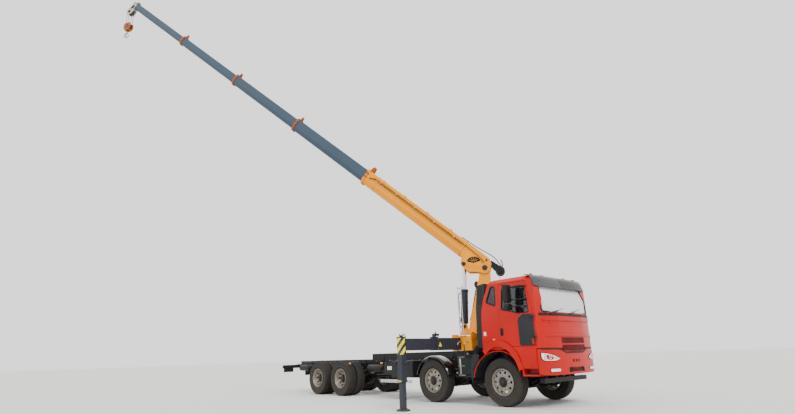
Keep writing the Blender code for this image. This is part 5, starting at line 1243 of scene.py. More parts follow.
def tube_ring(width, height, x0, x1, grow, edge=0.005):
    """A band round a boom tube: its outline grown by an amount, closed over the tube's own outline."""
    inner = tube_section(width - 0.002, height - 0.002)
    outer = tube_section(width + 2 * grow, height + 2 * grow)
    trimmed = tube_section(width + 2 * grow - 2 * edge, height + 2 * grow - 2 * edge)
    rings = [(inner, x0), (trimmed, x0), (outer, x0 + edge), (outer, x1 - edge), (trimmed, x1), (inner, x1)]
    points = np.array([np.column_stack((np.full(len(o), x), o)) for o, x in rings])
    return sheet_of(points, True, True)


def tube_skin(width, height, x0, x1, wall=0.008):
    """The boom tube: outer outline, its two rims and the bore, carried along X."""
    outer = tube_section(width, height)
    bore = tube_section(width - 2 * wall, height - 2 * wall, 0.016)
    rows = [(outer, x) for x in np.linspace(x0, x1, 14)] + [(bore, x) for x in np.linspace(x1, x0, 14)]
    points = np.array([np.column_stack((np.full(len(o), x), o)) for o, x in rows])
    return sheet_of(points, True, True)


def boom_base():
    width, height = BOOM_WIDTHS[0], BOOM_HEIGHTS[0]
    half, top, belly = width / 2, BOOM_AXIS + height / 2, BOOM_AXIS - height / 2
    eased("boom_base_section", CRANE_YELLOW, "boom_base", 0.005)
    # Painted shade: a thin darker orange sheet over the flat underside of the base section stands in for the
    # shade that falls on that face.
    orange = enamel("boom_underside_painted_shade", "c9801c", "b87218", (0.34, 0.46), 0.25, None)
    belly_shade_outline = np.array([(-0.575 * half, belly - 0.004), (0.575 * half, belly - 0.004),
                            (0.575 * half, belly + 0.003), (-0.575 * half, belly + 0.003)])
    verts, faces = plate(belly_shade_outline, 0.95, 4.70, "X", 0.001)
    piece("boom_belly_shade_sheet", [(verts, faces)], orange, "boom_base", BOOM)
    shapes = [tube_ring(width, height, 4.715, 4.80, 0.020),
              tube_ring(width, height, 4.30, 4.33, 0.010), tube_ring(width, height, 0.83, 0.87, 0.012)]
    for side in (-1, 1):
        y = span(side, half - 0.001, half + 0.006)
        shapes.append(plate([(0.90, 0.205), (4.28, 0.205), (4.28, 0.217), (0.90, 0.217)], *y, "Y", 0.002))
        shapes.append(plate([(0.90, 0.055), (4.28, 0.055), (4.28, 0.062), (0.90, 0.062)], *y, "Y", 0.002))
        for x in (1.40, 2.30, 3.20, 4.05):
            shapes.append(plate(softened([(x, top - 0.10), (x + 0.10, top - 0.10),
                                          (x + 0.10, top + 0.02), (x, top + 0.02)], 0.02), *y, "Y", 0.002))
    piece("boom_base_bands", shapes, CRANE_YELLOW, "boom_base", BOOM)

    dark, pins, spokes = [], [], []
    outer = 0.195
    for side in (-1, 1):
        y = span(side, outer - 0.002, outer + 0.006)
        level = np.array((math.cos(math.radians(-LUFF_DEG)), math.sin(math.radians(-LUFF_DEG))))
        upright = np.array((-level[1], level[0]))
        foot_point = np.array((0.375, -0.030))
        a = np.radians(np.linspace(0, 180, 19))
        fan = foot_point + 0.19 * np.cos(a)[:, None] * level + (0.13 * np.sin(a)[:, None] - 0.02) * upright
        dark.append(plate(np.vstack((fan, foot_point - 0.075 * upright)), *y, "Y", 0.002))
        y2 = span(side, outer + 0.004, outer + 0.010)
        for a in np.radians((150, 120, 90, 60, 30)):
            along = math.cos(a) * level + math.sin(a) * upright
            hub = foot_point - 0.05 * upright
            start, end = hub + 0.03 * along, hub + 0.135 * along
            across = 0.004 * np.array((-along[1], along[0]))
            spokes.append(plate([start - across, end - across, end + across, start + across],
                                *y2, "Y", 0.002))
        for x, z, r in ((0.0, 0.0, 0.075), (0.541, -0.28, 0.060), (0.09, 0.20, 0.028)):
            pins.append(round_bar("Y", (x, 0, z), r, *span(side, outer - 0.005, outer + 0.026), 0.006, 36))
            pins.append(bolts(ring_places((x, side * (outer + 0.025), z), r * 0.6, 6, "Y"),
                              "Y", 0.007, 0.007, side))
        y3 = span(side, half + 0.0005, half + 0.010)
        dark.append(plate([(0.95, 0.130), (4.25, 0.130), (4.25, 0.140), (0.95, 0.140)], *y3, "Y", 0.002))
    piece("boom_foot_vents", dark, TRIM_BLACK, "boom_base", BOOM)
    piece("boom_foot_spokes", spokes, CRANE_YELLOW, "boom_base", BOOM)
    piece("boom_foot_pins", pins, IRON, "boom_base", BOOM)
    lines = []
    for y in (0.030, 0.052, 0.074):
        lines.append(pipe([(0.10, half + y, 0.10), (0.40, half + y - 0.012, 0.16),
                           (1.2, half + y - 0.02, 0.175), (4.10, half + y - 0.02, 0.175),
                           (4.42, half + y - 0.02, 0.15), (4.60, half + y - 0.03, 0.08)], 0.007, 70))
    lines.append(pipe([(-0.30, -0.05, 0.34), (0.02, -0.04, 0.42), (0.60, -0.03, 0.36), (1.1, -0.03, 0.34)],
                      0.014, 40))
    piece("boom_pipes", lines, HOSE, "boom_base", BOOM)
    clips = [block((x - 0.02, half - 0.002, 0.155), (x + 0.02, half + 0.068, 0.195), 0.006)
             for x in (1.25, 2.0, 2.75, 3.5, 4.15)]
    for x in (0.95, 2.2, 3.4, 4.5):
        clips.append(block((x - 0.06, -0.05, top - 0.002), (x + 0.06, 0.05, top + 0.012), 0.004))
    piece("pipe_clips", clips, ZINC, "boom_base", BOOM)
    guide = [plate(softened([(4.64, top), (4.79, top), (4.79, top + 0.13), (4.74, top + 0.20),
                             (4.68, top + 0.20)], 0.02), *span(side, 0.045, 0.057), "Y", 0.003)
             for side in (-1, 1)]
    guide.append(round_bar("Y", (4.72, 0, top + 0.155), 0.028, -0.045, 0.045, 0.004, 28))
    guide += lugs_round(4.70, 4.795, width, height, 0.020)
    piece("boom_base_rope_guide", guide, COLLAR_ORANGE, "boom_base", BOOM)


def lugs_round(x0, x1, width, height, grow):
    """Wear-pad holders proud of a collar: two on top, two on each side and two under it."""
    half, top, belly = width / 2, BOOM_AXIS + height / 2, BOOM_AXIS - height / 2
    made = []
    for side in (-1, 1):
        y = side * 0.62 * half
        made.append(block((x0, y - 0.026, top + grow - 0.004), (x1, y + 0.026, top + grow + 0.020), 0.005))
        for z in (BOOM_AXIS + 0.24 * height, BOOM_AXIS - 0.02 * height):
            low, high = span(side, half + grow - 0.004, half + grow + 0.018)
            made.append(block((x0, low, z - 0.028), (x1, high, z + 0.028), 0.005))
        made.append(block((x0, side * 0.30 * half - 0.02, belly - grow - 0.018),
                          (x1, side * 0.30 * half + 0.02, belly - grow + 0.004), 0.005))
    return made


def telescope():
    for index in range(1, 5):
        body, node = f"boom_{index + 1}", f"boom_section_{index + 1}"
        width, height = BOOM_WIDTHS[index], BOOM_HEIGHTS[index]
        half, top = width / 2, BOOM_AXIS + height / 2
        place = tip(index)
        start = -BOOM_STEP - 0.70
        piece(f"{node}_tube",
              [tube_skin(width, height, start, 0.0)], BOOM_BLUE, body, place, (node,), 30)
        if index < 4:
            shapes = [tube_ring(width, height, -0.085, 0.001, 0.019)]
            shapes += lugs_round(-0.082, -0.006, width, height, 0.019)
            for side in (-1, 1):
                prong = softened([(-0.10, top + 0.015),
                                  (-0.005, top + 0.015), (-0.03, top + 0.165), (-0.07, top + 0.165)], 0.02)
                shapes.append(plate(prong, *span(side, 0.026, 0.038), "Y", 0.003))
            shapes.append(round_bar("Y", (-0.05, 0, top + 0.125), 0.024, -0.026, 0.026, 0.004, 24))
            piece(f"{node}_collar", shapes, COLLAR_ORANGE, body, place)
            heads = [bolts([(x, side * (half + 0.037), z) for x in (-0.062, -0.026)
                            for z in (BOOM_AXIS + 0.24 * height, BOOM_AXIS - 0.02 * height)],
                           "Y", 0.006, 0.006, side) for side in (-1, 1)]
            heads.append(bolts([(x, side * 0.62 * half, top + 0.039)
                                for x in (-0.062, -0.026) for side in (-1, 1)], "Z", 0.006, 0.006))
            piece(f"{node}_collar_bolts", heads, ZINC, body, place)
        pads = []
        bearing = BOOM_WIDTHS[index - 1] / 2 - 0.0085
        for side in (-1, 1):
            low, high = sorted((side * (half - 0.002), side * bearing))
            pads.append(block((start + 0.02, low, BOOM_AXIS),
                              (start + 0.12, high, BOOM_AXIS + 0.3 * height), 0.003))
        piece(f"{node}_slide_pads", pads, LABEL, body, place)


def boom_head():
    place, half = tip(4), BOOM_WIDTHS[4] / 2
    cheek = softened([(-0.085, 0.16), (0.06, 0.215), (0.13, 0.14), (0.15, -0.30),
                      (0.08, -0.42), (-0.08, -0.42), (-0.16, -0.30), (-0.13, -0.125), (-0.085, -0.115)], 0.04)
    plates, ribs = [], []
    for side in (-1, 1):
        plates.append(plate(cheek, *span(side, half - 0.011, half + 0.002), "Y", 0.003))
        rim = span(side, half + 0.001, half + 0.012)
        ribs.append(plate([(-0.080, 0.145), (0.06, 0.200), (0.125, 0.130),
                           (0.112, 0.120), (0.055, 0.180), (-0.080, 0.128)], *rim, "Y", 0.003))
        ribs.append(lathe([(0.032, rim[0]), (0.060, rim[0]), (0.060, rim[1]), (0.032, rim[1])],
                          "Y", (0, 0, -0.29), 30))
        ribs.append(plate([(-0.03, -0.12), (0.07, -0.12), (0.06, 0.05), (-0.02, 0.05)], *rim, "Y", 0.003))
    plates.append(block((-0.02, -half + 0.004, 0.152), (0.10, half - 0.004, 0.182), 0.004))
    plates.append(tube_ring(BOOM_WIDTHS[4], BOOM_HEIGHTS[4], -0.05, 0.0, 0.006, 0.003))
    pale = enamel("head_enamel_stone", "b9b0a0", "a49a8a", (0.35, 0.5), 0.2, None)
    piece("head_cheeks", plates, pale, "boom_5", place)
    piece("head_ribs", ribs, OUTRIGGER_GREY, "boom_5", place)
    sheaves = []
    for y in (-0.04, 0.04):
        rows = [(0.028, y - 0.019), (0.10, y - 0.015),
                (0.118, y - 0.019), (0.120, y - 0.016), (0.109, y - 0.005), (0.109, y + 0.005),
                (0.120, y + 0.016), (0.118, y + 0.019), (0.10, y + 0.015), (0.028, y + 0.019)]
        sheaves.append(lathe(rows, "Y", (0, 0, -0.29), 48))
    for side in (-1, 1):
        sheaves.append(bolts(ring_places((0, side * (half + 0.011), -0.29), 0.046, 6, "Y"),
                             "Y", 0.006, 0.007, side))
    sheaves.append(round_bar("Y", (0, 0, -0.29), 0.028, -half - 0.018, half + 0.018, 0.003, 32))
    sheaves.append(round_bar("Y", (-0.02, 0, 0.235), 0.026, -0.05, 0.05, 0.004, 28))
    piece("head_sheaves", sheaves, IRON, "boom_5", place)
    tab = [plate(softened([(0.13, -0.02), (0.185, -0.03), (0.19, -0.13), (0.135, -0.16)], 0.015),
                 -0.03, 0.03, "Y", 0.004),
           plate(softened([(-0.05, 0.18), (0.02, 0.18), (0.0, 0.27), (-0.04, 0.27)], 0.012),
                 0.052, 0.062, "Y", 0.003),
           plate(softened([(-0.05, 0.18), (0.02, 0.18), (0.0, 0.27), (-0.04, 0.27)], 0.012),
                 -0.062, -0.052, "Y", 0.003)]
    piece("head_tabs", tab, COLLAR_ORANGE, "boom_5", place)
    cable = [pipe([(-0.055, half + 0.016, -0.03), (-0.02, half + 0.02, -0.05),
                   (0.03, half + 0.02, -0.12), (0.0, half + 0.02, -0.20)], 0.006, 20),
             block((-0.05, half + 0.012, -0.05), (0.01, half + 0.045, 0.01), 0.006)]
    piece("limit_switch", cable, HOSE, "boom_5", place)


def hook():
    low = -0.72
    side_plate = softened([(-0.165, low + 0.10), (-0.10, low + 0.168),
                           (0.10, low + 0.168), (0.165, low + 0.10), (0.165, low - 0.10),
                           (0.08, low - 0.19), (-0.08, low - 0.19), (-0.165, low - 0.10)], 0.04)
    cheeks, black = [], []
    for y0, y1 in ((-0.085, -0.068), (0.068, 0.085)):
        cheeks.append(plate(side_plate, y0, y1, "Y", 0.004))
    cheeks.append(block((-0.12, -0.07, low - 0.19), (0.12, 0.07, low - 0.13), 0.010))
    piece("hook_block_cheeks", cheeks, COLLAR_ORANGE, "hook", HOOK, ("hook_block",))
    for y in (-0.04, 0.04):
        rows = [(0.02, y - 0.019), (0.10, y - 0.015),
                (0.118, y - 0.019), (0.120, y - 0.016), (0.109, y - 0.005), (0.109, y + 0.005),
                (0.120, y + 0.016), (0.118, y + 0.019), (0.10, y + 0.015), (0.02, y + 0.019)]
        black.append(lathe(rows, "Y", (0, 0, low + 0.05), 40))
    for side in (-1, 1):
        band = softened([(-0.15, low - 0.055), (0.15, low - 0.055), (0.15, low + 0.0), (-0.15, low + 0.0)],
                        0.01)
        black.append(plate(band, *span(side, 0.084, 0.089), "Y", 0.001))
        black.append(round_bar("Y", (0, 0, low + 0.05), 0.034, *span(side, 0.084, 0.104), 0.005, 28))
        black.append(bolts([(sx * 0.11, side * 0.085, low + dz) for sx in (-1, 1) for dz in (-0.10, 0.10)],
                           "Y", 0.009, 0.009, side))
    black.append(round_bar("Z", (0, 0, 0), 0.045, low - 0.235, low - 0.185, 0.006, 32))
    piece("hook_block_sheaves", black, GLOSS_BLACK, "hook", HOOK)
    centre_z = low - 0.40
    a = np.radians(np.linspace(96, -160, 34))
    share = np.linspace(0, 1, 34)
    r = 0.098 - 0.006 * np.cos(share * math.pi) + 0.012 * share
    thick = 0.020 + 0.017 * np.sin(np.clip(share * 1.12, 0, 1) * math.pi) - 0.010 * share ** 3
    path = np.column_stack((r * np.cos(a), np.zeros(34), centre_z + r * np.sin(a)))
    neck = np.array([(0, 0, low - 0.20), (0, 0, low - 0.255)])
    shapes = [pipe(np.vstack((neck, path)), np.concatenate(([0.026, 0.026], thick)), 0, 16)]
    piece("hook_crook", shapes, HOOK_STEEL, "hook", HOOK, (), 60)
    latch = [plate([(-0.012, centre_z + 0.085), (0.012, centre_z + 0.085),
                    (-0.075, centre_z - 0.035), (-0.09, centre_z - 0.022)], -0.010, 0.010, "Y", 0.002)]
    piece("hook_latch", latch, ZINC, "hook", HOOK)
    ropes = []
    for y in (-0.04, 0.04):
        for x in (-0.117, 0.117):
            ropes.append(pipe([(x, y, low + 0.05), (x, y, low * 0.5), (x, y, 0.0)], 0.0085, 0, 10))
    piece("hook_rope_falls", ropes, ROPE, "hook", HOOK)


def winch():
    x, z = -0.38, 0.20
    coat_node("winch", CHASSIS_BLACK)
    wraps = np.arange(-0.076, 0.077, 0.0165)
    shapes = [lathe([(0.100 + 0.0085 * math.cos(a), y + 0.0085 * math.sin(a))
                     for a in np.arange(8) / 8 * TAU], "Y", (x, 0, z), 36) for y in wraps]
    piece("winch_rope_wraps", shapes, ROPE, "boom_base", BOOM)
    shapes = []
    for side in (-1, 1):
        y = side * 0.100
        rows = [(0.086, y - 0.004), (0.128, y - 0.007),
                (0.134, y - 0.004), (0.134, y + 0.004), (0.128, y + 0.007), (0.086, y + 0.004)]
        shapes.append(lathe(rows, "Y", (x, 0, z), 40))
        shapes.append(bolts(ring_places((x, side * 0.166, z), 0.055, 8, "Y"), "Y", 0.007, 0.008, side))
    shapes.append(lathe([(1e-4, -0.285), (0.055, -0.285), (0.064, -0.278), (0.066, -0.20),
                         (0.078, -0.195), (0.078, -0.166), (1e-4, -0.166)], "Y", (x, 0, z), 32))
    shapes += [lathe([(0.064, y), (0.072, y + 0.002), (0.072, y + 0.008), (0.064, y + 0.010)],
                     "Y", (x, 0, z), 32) for y in (-0.265, -0.248, -0.231, -0.214)]
    piece("winch_flanges_and_motor", shapes, GLOSS_BLACK, "boom_base", BOOM)
    arm = [pipe([(x + 0.02, side * 0.135, z + 0.08), (x + 0.06, side * 0.13, z + 0.19),
                 (x + 0.16, side * 0.12, z + 0.26)], 0.011, 14) for side in (-1, 1)]
    arm.append(round_bar("Y", (x + 0.16, 0, z + 0.26), 0.018, -0.13, 0.13, 0.004, 24))
    arm.append(round_bar("Y", (x + 0.06, 0, z + 0.17), 0.014, -0.13, 0.13, 0.004, 24))
    piece("rope_guide_arm", arm, COLLAR_ORANGE, "boom_base", BOOM)


# ---------------------------------------------------------------- chassis
def chassis_frame():
    for node in ("chassis_frame", "sub_frame", "rear_bar", "engine", "front_axle_1",
                 "front_axle_2", "rear_axle_3", "rear_axle_4", "bogie_suspension", "propeller_shaft"):
        coat_node(node, CHASSIS_BLACK)
    for number in (1, 2):
        for label in ("left", "right"):
            coat_node(f"steering_knuckle_{number}_{label}", IRON)
    heads = []
    for side in (-1, 1):
        y = side * 0.431
        for x in np.arange(-10.0, 0.9, 0.34):
            heads.append([x, y, 0.86])
            heads.append([x + 0.05, y, 1.06])
    shapes = [bolts([p for p in heads if p[1] * side > 0], "Y", 0.010, 0.010, side) for side in (-1, 1)]
    piece("rail_bolts", shapes, ZINC, "chassis")
    shapes = []
    for side in (-1, 1):
        for x in (-1.9, -2.75, -3.05, -4.75, -5.35, -5.95, -8.4, -9.1, -9.7):
            shapes.append(plate(softened([(x - 0.09, 0.90), (x + 0.09, 0.90), (x + 0.07, 1.085),
                                          (x - 0.07, 1.085)], 0.02), *span(side, 0.4295, 0.438), "Y", 0.002))
        for x in (-5.2, -4.2, -3.2, -2.2):
            low, high = span(side, 0.4305, 0.446)
            shapes.append(block((x - 0.06, low, 1.03), (x + 0.06, high, 1.19), 0.004))
    piece("frame_brackets", shapes, CHASSIS_BLACK, "chassis")
    lines = []
    for index, (y, z) in enumerate(((0.31, 1.02), (0.31, 0.98), (-0.31, 1.03), (-0.31, 0.97), (-0.31, 0.93))):
        x = np.linspace(0.5, -9.9, 40)
        path = np.column_stack((x,
                                y + 0.006 * np.sin(x * 3.1 + index), z + 0.006 * np.sin(x * 2.3 + 2 * index)))
        lines.append(pipe(path, 0.009, 0, 8))
    piece("frame_air_lines", lines, HOSE, "chassis")


def springs_and_brakes():
    leaves, clamps, cans, rods = [], [], [], []
    for x in AXLES[:2]:
        for side in (-1, 1):
            y = side * 0.39
            for layer in range(4):
                half = 0.80 - 0.13 * layer
                s = np.linspace(-half, half, 22)
                z = 0.405 + 0.005 + 0.27 * (s / 0.80) ** 2 - 0.017 * layer + 0.02
                z = np.maximum(z, 0.36)
                ring = np.array([(-0.0405, -0.007), (0.0405, -0.007), (0.0405, 0.007), (-0.0405, 0.007)])
                points = np.stack((x + s[:, None] + 0 * ring[None, :, 0],
                                   y + 0 * s[:, None] + ring[None, :, 0], z[:, None] + ring[None, :, 1]), -1)
                leaves.append(capped(points))
            for dx in (-0.07, 0.07):
                clamps.append(pipe([(x + dx, y - 0.048, 0.34), (x + dx, y - 0.048, 0.60), (x + dx, y, 0.625),
                                    (x + dx, y + 0.048, 0.60), (x + dx, y + 0.048, 0.34)], 0.009, 20))
            cans.append(lathe([(1e-4, 0.0), (0.055, 0.0), (0.075, 0.014), (0.078, 0.05), (0.086, 0.054),
                               (0.086, 0.066), (0.078, 0.070), (0.074, 0.11), (0.05, 0.128), (1e-4, 0.13)],
                              "X", (x + 0.07, side * 0.66, 0.64), 28))
            rods.append(pipe([(x + 0.10, side * 0.66, 0.64), (x - 0.02, side * 0.70, 0.62)], 0.010))
            damper = [(x + 0.28, side * 0.50, 0.52), (x + 0.34, side * 0.475, 0.98)]
            rods.append(pipe(damper, 0.018))
            rods.append(pipe([(damper[0][0] + 0.026, side * 0.489, 0.72), damper[1]], 0.030, 0, 14))
        rods.append(pipe([(x - 0.22, -0.66, 0.47), (x - 0.22, 0.66, 0.47)], 0.018, 0, 12))
    for x in AXLES[2:]:
        for side in (-1, 1):
            for depth, wide in ((0.0, 0.076), (0.10, 0.084)):
                cans.append(lathe([(1e-4, 0.0), (wide * 0.75, 0.0),
                                   (wide * 0.95, 0.014), (wide, 0.05), (wide * 1.08, 0.054),
                                   (wide * 1.08, 0.066), (wide, 0.070), (wide * 0.95, 0.11), (1e-4, 0.12)],
                                  "X", (x + 0.14 + depth, side * 0.34, 0.70), 28))
    for side in (-1, 1):
        for layer in range(7):
            half = 0.78 - 0.085 * layer
            s = np.linspace(-half, half, 20)
            z = 0.655 + 0.20 * (0.78 ** 2 - s ** 2) / 0.78 ** 2 * 0.6 + 0.015 * layer
            ring = np.array([(-0.042, -0.0068), (0.042, -0.0068), (0.042, 0.0068), (-0.042, 0.0068)])
            points = np.stack((-7.125 + s[:, None] + 0 * ring[None, :, 0],
                               side * 0.505 + 0 * s[:, None] + ring[None, :, 0],
                               z[:, None] + ring[None, :, 1]), -1)
            leaves.append(capped(points))
        for dx in (-0.11, 0.11):
            clamps.append(pipe([(-7.125 + dx, side * 0.505 - 0.052, 0.62),
                                (-7.125 + dx, side * 0.505 - 0.052, 0.88),
                                (-7.125 + dx, side * 0.505, 0.91), (-7.125 + dx, side * 0.505 + 0.052, 0.88),
                                (-7.125 + dx, side * 0.505 + 0.052, 0.62)], 0.012, 20))
    piece("spring_leaves", leaves, IRON, "chassis")
    piece("spring_clamps", clamps, CHASSIS_BLACK, "chassis")
    piece("brake_chambers", cans, CHASSIS_BLACK, "chassis")
    piece("track_rods_and_dampers", rods, CHASSIS_BLACK, "chassis")


def fenders():
    for label, side in (("left", 1), ("right", -1)):
        flare_a = np.radians(np.linspace(17, 131, 40))
        eased(f"front_fender_{label}", CAB_RED, "chassis", 0.006)
        outer = np.column_stack((0.684 * np.cos(flare_a), 0.54 + 0.944 * np.sin(flare_a)))
        inner = np.column_stack((0.585 * np.cos(flare_a), 0.54 + 0.805 * np.sin(flare_a)))
        lip = [pipe(np.column_stack((inner[:, 0], np.full(40, side * 1.262), inner[:, 1])), 0.010, 0, 8),
               pipe(np.column_stack((outer[:, 0], np.full(40, side * 1.260), outer[:, 1])), 0.008, 0, 8)]
        piece(f"flare_lips_{label}", lip, CAB_RED, "chassis")
        front = np.radians(np.linspace(24, 90, 20))
        rear = np.radians(np.linspace(90, 172, 24))[1:]
        path = np.vstack((np.column_stack((0.638 * np.cos(front), 0.54 + 0.693 * np.sin(front))),
                          np.column_stack((0.776 * np.cos(rear), 0.54 + 0.693 * np.sin(rear)))))
        y = np.linspace(0.872, 1.2405, 9)
        ripple = 0.002 * np.cos(np.arange(9) * math.pi)
        skin = np.stack((path[:, None, 0] + 0 * y[None],
                         side * y[None] + 0 * path[:, None, 0], path[:, None, 1] + ripple[None] - 0.002), -1)
        under = skin.copy()
        centre = np.array((0, 0, 0.54))
        under -= (skin - centre) * np.array((1, 0, 1)) * 0.006
        ring = np.concatenate((skin, under[:, ::-1]), axis=1)
        liner = [capped(ring)]
        back = [(-0.60, 1.05),
                (-0.66, 1.20), (-0.80, 1.16), (-0.845, 0.98), (-0.865, 0.60), (-0.80, 0.60), (-0.785, 0.86)]
        liner.append(plate(softened(back, 0.03), *span(side, 1.242, 1.256), "Y", 0.004))
        liner.append(beside(side, (-0.86, 0.875, 0.50), (-0.845, 1.25, 0.66), 0.004))
        piece(f"arch_liner_{label}", liner, TRIM_GREY, "chassis")
        lens = [slab_on_side(rounded(0.075, 0.035, 0.010, (-0.10, 1.505)), side, -0.001, 0.012, 0.005),
                slab_on_side(rounded(0.075, 0.035, 0.010, (-0.30, 1.36)), side, -0.001, 0.012, 0.005)]
        for x in (-3.4, -4.4, -6.0, -9.3):
            lens.append(beside(side, (x - 0.05, 1.16, 0.985), (x + 0.05, 1.175, 1.02), 0.005))
        piece(f"side_markers_{label}", lens, AMBER, "chassis")
        arms = [pipe([(x, side * 0.43, 1.0), (x, side * 1.162, 1.0)], 0.012)
                for x in (-3.4, -4.4, -6.0, -9.3)]
        piece(f"marker_arms_{label}", arms, CHASSIS_BLACK, "chassis")

        tread = [beside(side, (0.665, 1.05, z), (1.0, 1.238, z + 0.018), 0.006) for z in (0.716,)]
        for x in np.linspace(0.69, 0.97, 12):
            tread.append(beside(side, (x - 0.006, 1.06, 0.733), (x + 0.006, 1.236, 0.741), 0.002))
        piece(f"cab_step_{label}", tread, TRIM_BLACK, "chassis")
        edge = [slab_on_side(rounded(0.36, 0.016, 0.006, (0.82, 0.868)), side, 0.008, 0.018, 0.003),
                slab_on_side(rounded(0.36, 0.012, 0.005, (0.82, 1.10)), side, 0.008, 0.016, 0.003)]
        gusset = [(0.64, 0.885),
                  (0.70, 0.885), (0.70, 1.29), (0.38, 1.29), (0.47, 1.21), (0.56, 1.10), (0.61, 1.00)]
        edge.append(plate(softened(gusset, 0.02), *span(side, 1.2303, 1.240), "Y", 0.003))
        piece(f"step_edges_{label}", edge, CAB_RED, "chassis")

        guard_a = np.radians(np.linspace(15, 165, 48))
        radius = 0.635
        y = np.linspace(0.868, 1.222, 13)
        crown = -0.030 * np.clip((np.abs(y - 1.045) - 0.11) / 0.067, 0, 1) ** 2
        outer_r = radius + crown[None]
        inner_r = outer_r - 0.014
        rows = [np.stack((-2.25 + rr * np.cos(guard_a)[:, None], side * y[None] + 0 * guard_a[:, None],
                          0.54 + rr * np.sin(guard_a)[:, None]), -1) for rr in (outer_r, inner_r)]
        ring = np.concatenate((rows[0], rows[1][:, ::-1]), axis=1)
        piece(f"mudguard_skin_{label}",
              [capped(ring)], GLOSS_BLACK, "chassis", None, (f"mudguard_{label}",))
        stays = []
        for end in (-1, 1):
            x = -2.25 + end * 0.47
            z = 0.54 + math.sqrt(0.635 ** 2 - 0.47 ** 2) - 0.014
            stays.append(pipe([(x, side * 0.431, z - 0.002), (x, side * 1.20, z - 0.002)], 0.010, 0, 12))
            for y0 in (0.95, 1.14):
                stays.append(block((x - 0.02, side * y0 - 0.02, z - 0.008),
                                   (x + 0.02, side * y0 + 0.02, z + 0.008), 0.003))
        piece(f"guard_stays_and_flaps_{label}", stays, TRIM_BLACK, "chassis")


